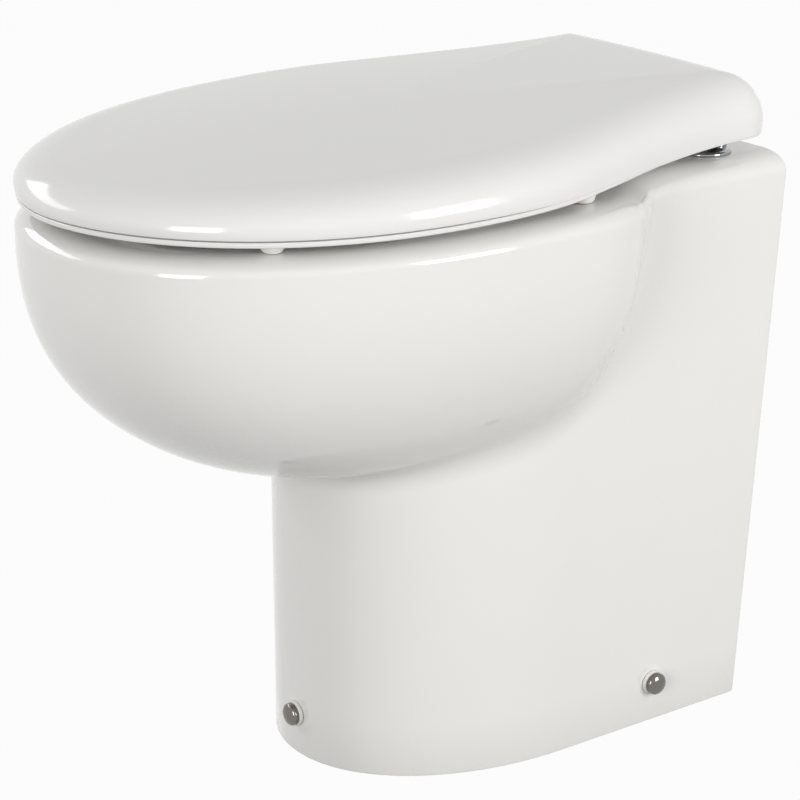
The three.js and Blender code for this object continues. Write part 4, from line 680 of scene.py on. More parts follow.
def pedestal_gauge(x, y, z, s):
    """How far out points lie in the pedestal's plan: 1 on its outline."""
    across = np.abs(x) / pedestal_half(z, s)
    ahead = np.maximum(s.arc_centre - y, 0) / s.nose_reach
    return (across**s.nose_power + ahead**s.nose_power) ** (1 / s.nose_power)


def back_y(z, s):
    return BACK - s.back_lean * (1 - min(z / (RIM - s.round_down), 1))


def distance(gauge, x, y, z, s):
    """A gauge turned into a length by dividing it by its own slope."""
    step = GAP
    here = gauge(x, y, z, s)
    slope = np.sqrt(
        (gauge(x + step, y, z, s) - here) ** 2
        + (gauge(x, y + step, z, s) - here) ** 2
        + (gauge(x, y, z + step, s) - here) ** 2
    )
    return (here - 1) / (slope / step)


def china_distance(x, y, z, s):
    """Bowl and pedestal, run together by a crease that opens out toward the rim."""
    pedestal = distance(pedestal_gauge, x, y, z, s)
    bowl = distance(bowl_gauge, x, y, z, s)
    share = max(z - RIM + s.crease_fade, 0) / s.crease_fade
    crease = s.crease + (s.rim_crease - s.crease) * share**2
    near = np.maximum(crease - np.abs(pedestal - bowl), 0) / crease
    return np.minimum(pedestal, bowl) - near**2 * (crease / 4)


def outermost(function, dx, dy, s):
    """Where each ray from the pedestal's middle leaves the skin."""
    low = np.zeros_like(dx)
    high = np.full_like(dx, cad_high.y - cad_low.y)
    for _ in range(44):
        middle = (low + high) / 2
        outside = function(dx * middle, s.ray_centre + dy * middle) > 0
        high = np.where(outside, middle, high)
        low = np.where(outside, low, middle)
    return low


def ray_angles(count, s):
    """Ray directions that step evenly round the widest outline of the china."""
    start = math.atan2(BACK - s.back_lean - s.ray_centre, s.deck_half)
    fine = np.linspace(start, -QUARTER, 2001)
    dx, dy = np.cos(fine), np.sin(fine)
    reach = outermost(lambda x, y: china_distance(x, y, RIM, s), dx, dy, s)
    x, y = dx * reach, dy * reach
    run = np.concatenate([[0], np.cumsum(np.hypot(np.diff(x), np.diff(y)))])
    return np.interp(np.linspace(0, run[-1], count + 1), run, fine)


def rim_inset(z, angles, s):
    """How far the rim's edge has rounded in at a height; the bowl's edge is tighter."""
    share = np.clip(angles / math.radians(25), 0, 1)
    tall = s.round_front + (s.round_down - s.round_front) * share**2 * (3 - 2 * share)
    up = np.clip((z - RIM + tall) / tall, 0, 1)
    return s.round_in * (1 - np.sqrt(1 - up**2))


def china_ring(z, inset, angles, s, side_inset=None):
    """One level of the china's outside, from a back corner round the nose to the other."""
    back = back_y(z, s) - inset * (s.back_round / s.round_in)
    half = pedestal_half(z, s) - inset
    r = s.back_corner
    corner = [(half - r + r * math.sin(a), back - r + r * math.cos(a))
              for a in np.linspace(0, QUARTER, 7)]
    first = math.atan2(back - r - s.ray_centre, half)
    share = np.linspace(0, 1, len(angles))[1:]
    turned_in = angles[1:] + (first - angles[0]) * (1 - share) ** 4
    dx, dy = np.cos(turned_in), np.sin(turned_in)
    tuck = inset if side_inset is None else side_inset[1:]
    reach = outermost(lambda x, y: china_distance(x, y, z, s) + tuck, dx, dy, s)
    side = list(zip(dx * reach, s.ray_centre + dy * reach))
    side[-1] = (0.0, side[-1][1])
    straight = [(half * t, back) for t in np.linspace(0, 1, 13)[1:-1]]
    half_ring = [(0.0, back)] + straight + corner + side
    mirror = [(-x, y) for x, y in reversed(half_ring[1:-1])]
    return [Vector((x, y, z)) for x, y in half_ring + mirror]


def signed_power(value, exponent):
    return math.copysign(abs(value) ** exponent, value)


def round_plan(z, centre, half, front, back, front_power, back_power):
    """A level ring whose front and back halves are ovals of their own reach and squareness."""
    points = []
    for k in range(BOWL_POINTS):
        a = k / BOWL_POINTS * TURN
        n, reach = (front_power, front) if math.sin(a) < 0 else (back_power, back)
        x = half * signed_power(math.cos(a), 2 / n)
        points.append(Vector((x, centre + reach * signed_power(math.sin(a), 2 / n), z)))
    return points


def bowl_ring(z, inset, s):
    """One level of the bowl's underside, drawn in by an inset."""
    widest = RIM - s.round_down
    depth = widest - (RIM - s.bowl_depth) - inset
    down = min(max(widest - z, 0) / depth, 1)
    scale = (1 - down**s.depth_power) ** (1 / s.depth_power)
    reaches = (s.bowl_half_width, s.bowl_front, s.bowl_back)
    half, front, back = ((reach - inset) * scale for reach in reaches)
    return round_plan(z, s.bowl_centre, half, front, back, s.front_power, s.back_power)


def bowl_rings(top, inset, s):
    """Levels of the bowl from its widest line down, cut off at a top height."""
    widest = RIM - s.round_down
    depth = widest - (RIM - s.bowl_depth) - inset
    flat_share = 0.03
    levels = [widest - depth * math.sin(k / BOWL_STEPS * QUARTER * (1 - flat_share))
              for k in range(BOWL_STEPS + 1)]
    return [bowl_ring(min(z, top), inset, s) for z in levels]


def mouth_ring(z, grow, b):
    half, reach = b.half_width + grow, b.half_length + grow
    return round_plan(z, b.centre, half, reach, reach, b.power, b.power)


def share_at(s):
    """How far the lid's side has flared out, along a smooth curve."""
    i = 0
    while i < len(LID_STATIONS) - 2 and s > LID_STATIONS[i + 1]:
        i += 1

    def slope(k):
        if k in (0, len(LID_STATIONS) - 1):
            return 0
        rise = LID_FLARE[k + 1] - LID_FLARE[k - 1]
        return rise / (LID_STATIONS[k + 1] - LID_STATIONS[k - 1])

    span = LID_STATIONS[i + 1] - LID_STATIONS[i]
    t = min(max((s - LID_STATIONS[i]) / span, 0), 1)
    return (
        (2 * t**3 - 3 * t**2 + 1) * LID_FLARE[i]
        + (t**3 - 2 * t**2 + t) * span * slope(i)
        + (3 * t**2 - 2 * t**3) * LID_FLARE[i + 1]
        + (t**3 - t**2) * span * slope(i + 1)
    )


def lid_outline(inset, back_inset, height, s):
    """The lid's outline drawn in by an inset: back edge, corner, S-shaped side and nose."""
    edge = BACK - s.back_gap
    back = edge - back_inset
    widest = edge - s.back_length
    r = max(s.corner - inset, s.least_corner)

    def half_at(y):
        flare = share_at((edge - y) / s.back_length)
        return s.back_half + (s.half_width - s.back_half) * flare - inset

    straight = half_at(back - r) - r
    half = [(t * straight, back + s.bow * (1 - t * t)) for t in np.linspace(0, 1, 13)[:-1]]
    half += [(straight + r * math.sin(a), back - r + r * math.cos(a))
             for a in np.linspace(0, QUARTER, 11)[:-1]]
    half += [(half_at(y), y) for y in np.linspace(back - r, widest, 33)[:-1]]
    half += [((s.half_width - inset) * math.cos(a) ** (2 / LID_WIDTH_POWER),
              widest - (s.front_reach - inset) * math.sin(a) ** (2 / LID_LENGTH_POWER))
             for a in np.linspace(0, QUARTER, 37)[:-1]]
    half.append((0.0, widest - (s.front_reach - inset)))
    mirror = [(-x, y) for x, y in reversed(half[1:-1])]
    return [Vector((x, y, height(y))) for x, y in half + mirror]


def lid_height(up, s):
    """Heights above the lid's edge grow toward the hinges."""
    full = s.widest_up + s.round_up
    tip = BACK - s.back_gap - s.back_length - s.front_reach
    return lambda y: (
        RIM + s.edge_height + up + s.back_rise * ((y - tip) / (cad_high.y - tip)) * (up / full)
    )


def lid_top_rings(wall, steps, s):
    """The rounding of the lid's upper edge, from its widest line up."""
    rings = []
    for tucked, risen in quarter_round(steps):
        tuck = wall + (s.round_in - wall) * tucked
        up = s.widest_up + (s.round_up - wall) * risen
        rings.append(lid_outline(tuck, tuck, lid_height(up, s), s))
    return rings


def crown_ring(edge, share, s):
    """A ring of the domed top, a share of the way from its edge to its middle."""
    tip = BACK - s.back_gap - s.back_length - s.front_reach
    middle = BACK + (tip - BACK) * LID_CROWN_CENTRE
    slope = s.back_rise / (cad_high.y - tip)
    lift = s.crown * (1 - (1 - share) ** 2)
    return [Vector((
        p.x * (1 - share),
        middle + (p.y - middle) * (1 - share),
        p.z + lift - (p.y - middle) * share * slope,
    )) for p in edge]


def hinge_leaf(name, outline, start, end, h):
    """A flat outline with a round eye, which swings on the hinges' pins."""
    leaf = slab(name, outline, start, end)
    weld(leaf, bar("eye", h.barrel, "X", HINGE, start, end))
    return leaf


def drill_for_pins(piece, h):
    """Drills the bores for both hinges' pins, which lie in one line."""
    reach = HINGE_X + h.barrel_length / 2 + h.lug + OVERRUN
    bore(piece, h.pin + GAP, "X", HINGE, -reach, reach)


# Finishes


def add_node(tree, kind, settings=None, inputs=None):
    """Adds a node with its settings, its values and its links."""
    node = tree.nodes.new(kind)
    for key, value in (settings or {}).items():
        setattr(node, key, value)
    for key, value in (inputs or {}).items():
        if isinstance(value, bpy.types.NodeSocket):
            tree.links.new(value, node.inputs[key])
        else:
            node.inputs[key].default_value = value
    return node


def empty_tree(owner):
    """Gives a material or a world an empty node tree."""
    owner.use_nodes = True
    owner.node_tree.nodes.clear()
    return owner.node_tree


ALONG_Z = (1, 1, 0.08)
ALONG_X = (0.05, 1, 1)

# Each finish by its material slot: the material's name, its colour in the panel, the plain
# values on its shader, its grains, and what they do: the tint from dark to light, the roughness
# from low to high, and the height and strength of the relief. A grain is noise, as (width of a
# blotch, detail, stretch). One grain does all three, or three do one each.
FINISHES = {
    # Vitreous china under a fired clear-white glaze: deep gloss, with the slow waviness, about
    # 45 mm from crest to crest, that a sprayed glaze keeps after it flows in the kiln
    "glaze": (
        "fired_glaze", "glaze", {"IOR": 1.52, "Coat Weight": 0.3, "Coat Roughness": 0.04},
        [(45 * MM, 1), (3 * MM, 3), (45 * MM, 1)], (0.985, 1.0), (0.05, 0.11), (0.25 * MM, 0.35),
    ),
    # Compression-moulded urea: dense and hard, polished by its mould, with a very fine orange
    # peel about 4 mm wide that softens the edges of reflections
    "seat_plastic": (
        "moulded_urea", "thermoset", {"IOR": 1.54},
        [(80 * MM, 1), (4 * MM, 2), (4 * MM, 2)], (0.985, 1.0), (0.09, 0.16), (0.02 * MM, 0.3),
    ),
    # Injection-moulded soft vinyl: milky and slightly see-through, with a satin skin
    "buffer_rubber": (
        "milky_vinyl", "buffer",
        {"IOR": 1.53, "Subsurface Weight": 0.4, "Subsurface Scale": 4 * MM},
        [(1.5 * MM, 2)], (0.96, 1.0), (0.3, 0.45),
    ),
    # Compression-moulded nitrile rubber: matt, with a dusty bloom in patches about 12 mm wide
    "black_rubber": (
        "moulded_rubber", "black_rubber", {"IOR": 1.52},
        [(12 * MM, 4), (12 * MM, 4), (0.8 * MM, 2)], (0.8, 1.5), (0.55, 0.8), (0.05 * MM, 0.4),
    ),
    # Extruded grey hose: satin, with fine lines along it from the die, about 1 mm apart
    "hose_rubber": (
        "extruded_hose", "hose_rubber", {"IOR": 1.52},
        [(1 * MM, 2, ALONG_Z)], (0.9, 1.08), (0.4, 0.6), (0.04 * MM, 0.4),
    ),
    # Nickel-chrome plate over brass: a mirror with faint polishing haze
    "chrome": (
        "chrome_plate", "chrome", {"Metallic": 1.0}, [(2 * MM, 3)], (0.95, 1.0), (0.04, 0.1),
    ),
    # Polished chrome of the plastic screw caps, its colour darkened to stand in for the dim room
    # that it would reflect: a painted dark reflection
    "cap_chrome_painted_reflection": (
        "smoky_chrome", "cap_chrome_painted_reflection", {"Metallic": 1.0},
        [(1.5 * MM, 3)], (0.85, 1.0), (0.05, 0.12),
    ),
    # Cold-rolled stainless sheet and bar: satin, with rolling lines drawn 0.6 mm apart so that
    # they show
    "steel": (
        "rolled_stainless", "steel", {"Metallic": 1.0},
        [(0.6 * MM, 2, ALONG_X)], (0.88, 1.04), (0.24, 0.4), (0.02 * MM, 0.4),
    ),
    # Glass-filled polyamide from a spark-eroded mould: satin, with an even grain 0.7 mm wide
    "black_plastic": (
        "glass_filled_polyamide", "black_plastic", {"IOR": 1.53},
        [(0.7 * MM, 2)], (0.85, 1.25), (0.38, 0.55), (0.04 * MM, 0.5),
    ),
    # Injection-moulded acetal: waxy white with a soft sheen
    "white_plastic": (
        "moulded_acetal", "white_plastic", {"IOR": 1.48},
        [(6 * MM, 3)], (0.96, 1.0), (0.28, 0.42),
    ),
    # Stove enamel on a drawn steel can: half gloss, with a fine orange peel 1.8 mm wide
    "motor_paint": (
        "stove_enamel", "motor_paint", {"IOR": 1.5, "Coat Weight": 0.2},
        [(1.8 * MM, 2)], (0.97, 1.0), (0.22, 0.34), (0.03 * MM, 0.4),
    ),
}
materials = {}


def make_finish(name, colour_name, surface, grains, tint, roughness, relief=None):
    """Builds one material from its row in the table of finishes."""
    material = bpy.data.materials.new(name)
    tree = empty_tree(material)
    place = add_node(tree, "ShaderNodeTexCoord").outputs["Object"]
    noises = []
    for width, detail, *stretch in grains:
        inputs = {"Vector": place, "Scale": stretch[0] if stretch else (1, 1, 1)}
        spot = add_node(tree, "ShaderNodeMapping", inputs=inputs).outputs[0]
        inputs = {"Vector": spot, "Scale": 1 / width, "Detail": detail}
        noises.append(add_node(tree, "ShaderNodeTexNoise", inputs=inputs).outputs["Fac"])
    tinting, roughening, raising = noises if len(noises) == 3 else noises * 3
    ramp = add_node(tree, "ShaderNodeValToRGB", inputs={"Fac": tinting})
    base = getattr(sizes("finishes"), colour_name)
    for stop, level in zip(ramp.color_ramp.elements, tint):
        stop.color = (*[min(channel * level, 1.0) for channel in base[:3]], 1.0)
    inputs = {"Value": roughening, "To Min": roughness[0], "To Max": roughness[1]}
    span = add_node(tree, "ShaderNodeMapRange", inputs=inputs)
    surface = {**surface, "Base Color": ramp.outputs["Color"], "Roughness": span.outputs["Result"]}
    if relief:
        inputs = {"Height": raising, "Distance": relief[0], "Strength": relief[1]}
        surface["Normal"] = add_node(tree, "ShaderNodeBump", inputs=inputs).outputs["Normal"]
    shader = add_node(tree, "ShaderNodeBsdfPrincipled", inputs=surface)
    add_node(tree, "ShaderNodeOutputMaterial", inputs={"Surface": shader.outputs[0]})
    return material


def material_for(slot):
    if slot not in materials:
        materials[slot] = make_finish(*FINISHES[slot])
    return materials[slot]


# One operator for each piece or group of like pieces


class TOILET_OT_frame_finishes(bpy.types.Operator):
    """Give every piece of the frame its material"""

    bl_idname = "toilet.frame_finishes"
    bl_label = "Frame finishes"

    def execute(self, context):
        for entry in frame["record"]["subparts"]:
            piece = frame["nodes"][entry["node"]]
            piece.data.materials.clear()
            piece.data.materials.append(material_for(entry["material_slot"]))
        return {"FINISHED"}


class TOILET_OT_china(bpy.types.Operator):
    """Model the bowl, deck and pedestal as one casting"""

    bl_idname = "toilet.china"
    bl_label = "China bowl"

    def outside(self, s):
        angles = ray_angles(CHINA_RAYS, s)
        low, widest = RIM - s.bowl_depth, RIM - s.round_down
        foot, below = 2 * MM, 1.6 * s.crease
        rings = [china_ring(0, foot, angles, s), china_ring(foot * 0.3, foot * 0.3, angles, s)]
        levels = [*np.linspace(foot, low - below, 6), *np.linspace(low - below, low, 15)[1:]]
        levels += [low + (widest - low) * t for t in 1 - np.cos(np.linspace(0, QUARTER, 41)[1:])]
        rings += [china_ring(z, 0, angles, s) for z in levels]
        for tucked, risen in quarter_round(16, 1):
            z = widest + s.round_down * risen
            rings.append(china_ring(z, s.round_in * tucked, angles, s, rim_inset(z, angles, s)))
        rings.append(china_ring(RIM, s.round_in + 2 * MM, angles, s))
        return skin("china", rings)

    def basin(self, s, b):
        roof, lip_end = RIM - b.roof, RIM - b.lip_depth
        rings = [mouth_ring(RIM + OVERRUN, b.lip_round, b)]
        for dropped, out in quarter_round(6):
            rings.append(mouth_ring(RIM - b.lip_round * dropped, b.lip_round * (1 - out), b))
        rings += [mouth_ring(z, 0, b) for z in np.linspace(RIM - b.lip_round, lip_end, 4)[1:]]
        rings += [mouth_ring(z, b.lip_thickness, b) for z in (lip_end, roof)]
        return skin("basin", rings + bowl_rings(roof, s.shell, s))

    def pedestal_hollow(self, s):
        def plan(z):
            half, nose = pedestal_half(z, s) - s.wall, s.nose_reach - s.wall
            points = [Vector((half, BACK + OVERRUN, z))]
            for a in np.linspace(0, math.pi, 65):
                x = half * signed_power(math.cos(a), 2 / s.nose_power)
                y = s.arc_centre - nose * signed_power(math.sin(a), 2 / s.nose_power)
                points.append(Vector((x, y, z)))
            return points + [Vector((-half, BACK + OVERRUN, z))]

        hollow = skin("hollow", [plan(-OVERRUN), plan(RIM - s.deck)])
        rings = [bowl_ring(RIM, 0, s)] + bowl_rings(RIM - s.round_down, 0, s)
        carve(hollow, skin("bowl_below", rings))
        return hollow

    def drill_holes(self, china, s, b):
        h, f = sizes("hinge"), sizes("fixing")
        for x in (HINGE_X, -HINGE_X):
            bore(china, h.hole, "Z", (x, HINGE_Y, 0), RIM - s.deck - OVERRUN, RIM + OVERRUN, 48)
        screw = middle_of("fixing_screw_right")
        reach = s.deck_half + OVERRUN
        bore(china, f.hole, "X", screw, -reach, reach, 32)
        nose = s.arc_centre - s.nose_reach
        bore(china, f.hole, "Y", (0, 0, screw.z), nose - OVERRUN, nose + s.wall + OVERRUN, 32)
        back = s.bowl_centre + s.bowl_back
        spot = (0, 0, RIM - b.rinse_drop)
        bore(china, b.rinse, "Y", spot, back - s.shell - OVERRUN, back + OVERRUN, 48)

    def execute(self, context):
        s, b = sizes("china"), sizes("basin")
        china = self.outside(s)
        carve(china, self.pedestal_hollow(s))
        below = RIM - s.bowl_depth
        spot, foot = (0, b.outlet_y, 0), below - b.spigot_drop
        weld(china, bar("spigot", b.spigot, "Z", spot, foot, below + s.shell / 2))
        carve(china, self.basin(s, b))
        bore(china, b.throat, "Z", spot, foot - OVERRUN, below + 2 * s.shell)
        self.drill_holes(china, s, b)
        dress(china, "bowl", "glaze", "china_bowl")
        return {"FINISHED"}


class TOILET_OT_lid(bpy.types.Operator):
    """Model the wrap-over lid as one moulded shell with its two hinge lugs"""

    bl_idname = "toilet.lid"
    bl_label = "Lid"

    def outside(self, s):
        top = lid_top_rings(0, 14, s)
        crown = [crown_ring(top[-1], t, s) for t in np.linspace(0, 0.97, 14)[1:]]
        return list(reversed(crown)) + list(reversed(top))

    def lug(self, start, end, s, h):
        r = h.barrel
        top = lid_height(s.widest_up + s.round_up - s.wall, s)(HINGE_Y) + s.wall / 2
        outline = [(HINGE_Y - r, HINGE_Z), (HINGE_Y - r, top)]
        outline += [(HINGE_Y + r / 2, top), (HINGE_Y + r, HINGE_Z)]
        return hinge_leaf("lid_lug", outline, start, end, h)

    def clear_hinges(self, lid, s, h):
        """Cuts the room that the lid needs round the hinges to swing."""
        half, low, high = 24 * MM, RIM + s.edge_height - OVERRUN, HINGE_Z + h.barrel + s.wall / 2
        for x in (HINGE_X, -HINGE_X):
            front, back = HINGE_Y + h.barrel + OVERRUN, BACK + OVERRUN
            notch = block("notch", (x - half, front, low), (x + half, back, high))
            apply_modifier(notch, "BEVEL", width=3 * MM, segments=4)
            carve(lid, notch)
        reach = s.half_width + OVERRUN
        relief = block("relief", (-reach, HINGE_Y, RIM), (reach, BACK + OVERRUN, HINGE_Z))
        bore(relief, h.swing, "X", HINGE, -reach - OVERRUN, reach + OVERRUN, 96)
        carve(lid, relief)

    def execute(self, context):
        s, h = sizes("lid"), sizes("hinge")
        edge, lip = RIM + s.edge_height, 1.2 * MM
        rings = self.outside(s)
        lower = lid_outline(s.edge_inset, s.edge_inset, lambda y: edge, s)
        outer = skin("lid_outside", rings + [lower])
        for inset, up in (
            (s.edge_inset * 0.5, 2 * lip),
            (s.edge_inset, lip),
            (s.edge_inset + lip * 0.3, lip * 0.3),
            (s.edge_inset + lip, 0),
            (s.wall - lip * 0.5, 0),
            (s.wall, lip * 0.5),
        ):
            rings.append(lid_outline(inset, inset, lambda y, up=up: edge + up, s))
        lid = skin("lid_shell", rings + lid_top_rings(s.wall, 10, s))
        near = HINGE_X + h.barrel_length / 2 + GAP
        lug = self.lug(near, near + h.lug, s, h)
        lugs = gather("lid_lugs", lug, twin(lug, "other_lug", MIRROR))
        carve(lugs, outer, "INTERSECT")
        weld(lid, lugs)
        self.clear_hinges(lid, s, h)
        drill_for_pins(lid, h)
        dress(lid, "lid", "seat_plastic", "lid")
        return {"FINISHED"}


class TOILET_OT_seat(bpy.types.Operator):
    """Model the seat ring with its flange and its two hinge arms"""

    bl_idname = "toilet.seat"
    bl_label = "Seat ring"

    def arm(self, start, end, s, h):
        r = h.barrel
        low, top = RIM + s.height, RIM + s.height + s.thickness
        front = BACK - sizes("lid").back_gap - s.back_inset - s.round_in
        outline = [(HINGE_Y, HINGE_Z - r), (HINGE_Y, HINGE_Z + r), (front, top - s.edge_tuck)]
        outline += [(front, low + s.edge_up), (HINGE_Y - r, low + s.edge_up)]
        return soften(hinge_leaf("seat_arm", outline, start, end, h), 1 * MM)

    def level(self, inset, tuck, waist, z, s):
        """The lid's outline drawn in at one height, and farther in toward the hinges."""
        lid = sizes("lid")
        wide = lid_outline(inset + tuck, s.back_inset + tuck, lambda y: z, lid)
        narrow = lid_outline(inset + tuck + waist, s.back_inset + tuck, lambda y: z, lid)
        span = s.waist_end - s.waist_start
        share = np.clip([(p.y - s.waist_start) / span for p in wide], 0, 1)
        return [p.lerp(q, t**3) for p, q, t in zip(wide, narrow, share)]

    def edge_ring(self, tuck, z, s):
        return self.level(s.inset, tuck, s.edge_waist, z, s)

    def flange_ring(self, tuck, z, s):
        return self.level(s.flange_inset, tuck, s.flange_waist, z, s)

    def opening_ring(self, around, grow, z, s):
        """The opening's edge, with a point inward of each point of the seat's outline."""
        b = sizes("basin")
        half, reach = s.mouth_half_width + grow, s.mouth_half_length + grow
        points = []
        for p in around:
            u, v = abs(p.x) / half, abs(p.y - b.centre) / reach
            scale = (u**b.power + v**b.power) ** (-1 / b.power)
            points.append(Vector((p.x * scale, b.centre + (p.y - b.centre) * scale, z)))
        return points

    def execute(self, context):
        s, h = sizes("seat"), sizes("hinge")
        low = RIM + s.height
        top = low + s.thickness
        rings = []
        for risen, out in quarter_round(4):
            rings.append(self.flange_ring(s.edge_tuck * (1 - out), low + s.edge_tuck * risen, s))
        rings += [
            self.flange_ring(0, low + s.flange_up - 0.4 * MM, s),
            self.flange_ring(0.3 * MM, low + s.flange_up, s),
            self.edge_ring(-1 * MM, low + s.edge_up - 0.2 * MM, s),
        ]
        for tucked, risen in quarter_round(10):
            z = low + s.edge_up + (s.thickness - s.edge_up) * risen
            rings.append(self.edge_ring(s.round_in * tucked, z, s))
        around = self.edge_ring(0, low, s)
        for dropped, out in quarter_round(6):
            z = top - s.mouth_round * dropped
            rings.append(self.opening_ring(around, s.mouth_round * (1 - out), z, s))
        rings.append(self.opening_ring(around, s.edge_tuck * 0.3, low + s.edge_tuck * 0.4, s))
        rings.append(self.opening_ring(around, s.edge_tuck, low, s))
        ring = skin("seat", rings, joined=True)
        far = HINGE_X - h.barrel_length / 2 - GAP
        arm = self.arm(far - h.lug, far, s, h)
        weld(ring, gather("seat_arms", arm, twin(arm, "other_arm", MIRROR)))
        drill_for_pins(ring, h)
        dress(ring, "seat", "seat_plastic", "seat_ring")
        return {"FINISHED"}


class TOILET_OT_buffers(bpy.types.Operator):
    """Model the seat's four buffers and the lid's two"""

    bl_idname = "toilet.buffers"
    bl_label = "Buffers"

    def execute(self, context):
        s = sizes("buffers")
        first = "seat_buffer_front_right"
        low, high, middle = extent(first)
        deep = high.z - low.z
        nose = min(0.4 * deep, 0.5 * s.nose)
        side = [(s.nose - nose * (1 - out), nose * risen) for risen, out in quarter_round(6)]
        profile = [(0, 0)] + side + [(s.top, deep), (0, deep)]
        bumper = soften(turned("seat_bumper", profile, Z, (*middle.xy, low.z)), s.edge)
        for place in ("front_right", "front_left", "rear_right", "rear_left"):
            node = f"seat_buffer_{place}"
            piece = twin(bumper, f"seat_bumper_{place}", shift_to(first, node))
            dress(piece, "seat", "buffer_rubber", node)
        bpy.data.objects.remove(bumper)
        low, high, middle = extent("lid_buffer_right")
        r, deep = (high.x - low.x) / 2, high.z - low.z
        profile = [(0, deep * 0.15), (r * 0.45, deep * 0.15), (r * 0.55, 0), (r * 0.85, 0)]
        profile += [(r, deep * 0.4), (r, deep), (0, deep)]
        bumper = soften(turned("lid_bumper", profile, Z, (*middle.xy, low.z)), s.edge / 2)
        dress_pair(bumper, "lid_bumper", "lid", "buffer_rubber", "lid_buffer")
        return {"FINISHED"}


class TOILET_OT_hinges(bpy.types.Operator):
    """Model both hinges: disc, pillar, pin, stud, washer and wing nut"""

    bl_idname = "toilet.hinges"
    bl_label = "Hinges"

    def disc(self, h):
        low, high, middle = extent("hinge_disc_right")
        thick, r = high.z - low.z, (high.x - low.x) / 2
        profile = [(0, 0), (r, 0), (r, thick * 0.5), (r - thick * 0.5, thick), (0, thick)]
        disc = soften(turned("hinge_rose", profile, Z, (*middle.xy, low.z), 96), 0.5 * MM, 3)
        bore(disc, h.bolt + GAP, "Z", HINGE, low.z - OVERRUN, high.z + OVERRUN)
        return disc

    def pillar(self, h):
        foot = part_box("hinge_pillar_right")[0].z
        tall = HINGE_Z - foot
        profile = [(0, 0), (h.pillar, 0), (h.pillar, tall * 0.08), (h.waist, tall * 0.2)]
        profile += [(h.waist, tall * 0.62), (h.pillar, tall * 0.85), (h.pillar, tall), (0, tall)]
        post = turned("hinge_post", profile, Z, (HINGE_X, HINGE_Y, foot))
        half = h.barrel_length / 2
        barrel = bar("barrel", h.barrel, "X", HINGE, HINGE_X - half, HINGE_X + half)
        weld(post, soften(barrel, 0.7 * MM, 3))
        stud_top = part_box("hinge_stud_right")[1].z
        bore(post, h.bolt + GAP, "Z", HINGE, foot - OVERRUN, stud_top + GAP)
        half += OVERRUN
        bore(post, h.pin + GAP, "X", HINGE, HINGE_X - half, HINGE_X + half)
        return post

    def pin(self, h):
        low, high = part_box("hinge_pin_right")
        long = high.x - low.x
        neck = long - h.pin_head_length
        profile = [(0, 0), (h.pin * 0.8, 0), (h.pin, 0.6 * MM), (h.pin, neck), (h.pin_head, neck)]
        profile += [(h.pin_head, neck + h.pin_head_length * 0.45)]
        profile += [(h.pin_head * 0.7, long - 0.2 * MM), (0, long)]
        return turned("hinge_axle", profile, X, (low.x, HINGE_Y, HINGE_Z), 32)

    def stud(self, h):
        low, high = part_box("hinge_stud_right")
        plain = RIM - 14 * MM
        profile = [(0, low.z), (h.bolt * 0.8, low.z)]
        for k in range(int((plain - low.z) / h.thread)):
            z = low.z + (k + 0.5) * h.thread
            profile += [(h.bolt, z), (h.bolt * 0.86, z + h.thread / 2)]
        profile += [(h.bolt, plain), (h.bolt, high.z - 0.5 * MM), (h.bolt * 0.85, high.z)]
        return turned("hinge_bolt", profile + [(0, high.z)], Z, (HINGE_X, HINGE_Y, 0), 32)

    def washer(self, h):
        low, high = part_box("hinge_washer_right")
        thick, r = high.z - low.z, (high.x - low.x) / 2
        hole = h.bolt + GAP
        profile = [(hole, 0), (r, 0), (r, thick * 0.6), (r * 0.8, thick), (hole, thick), (hole, 0)]
        return soften(turned("hinge_seal", profile, Z, (HINGE_X, HINGE_Y, low.z)), 0.4 * MM)

    def wing_nut(self, h):
        low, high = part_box("hinge_nut_right")
        span, tall = (high.x - low.x) / 2, high.z - low.z
        profile = [(0, tall * 0.31), (h.hub * 0.8, tall * 0.31), (h.hub, tall * 0.85)]
        profile += [(h.hub, tall), (0, tall)]
        nut = soften(turned("wing_nut", profile, Z, (HINGE_X, HINGE_Y, low.z)), 0.5 * MM)
        outline = [(h.hub * 0.4, high.z - h.wing), (span * 0.8, high.z - h.wing)]
        outline += [(span, high.z - h.wing * 2), (span, low.z + 1 * MM), (span * 0.85, low.z)]
        outline += [(h.hub * 0.6, high.z - tall * 0.65)]
        outline = [(HINGE_X + across, up) for across, up in outline]
        half = h.wing / 2
        wing = slab("wing", outline, HINGE_Y - half, HINGE_Y + half, along_x=False)
        soften(wing, 0.7 * MM, 3)
        turn = shift_about(HINGE, math.pi)
        for wing in (wing, twin(wing, "other_wing", turn)):
            weld(nut, wing)
        bore(nut, h.bolt + GAP, "Z", HINGE, low.z - OVERRUN, high.z + OVERRUN)
        return nut

    def execute(self, context):
        h = sizes("hinge")
        for piece, node, slot in (
            (self.disc(h), "hinge_disc", "chrome"),
            (self.pillar(h), "hinge_pillar", "chrome"),
            (self.pin(h), "hinge_pin", "steel"),
            (self.stud(h), "hinge_stud", "steel"),
            (self.washer(h), "hinge_washer", "black_rubber"),
            (self.wing_nut(h), "hinge_nut", "white_plastic"),
        ):
            dress_pair(piece, piece.name, "bowl", slot, node)
        return {"FINISHED"}


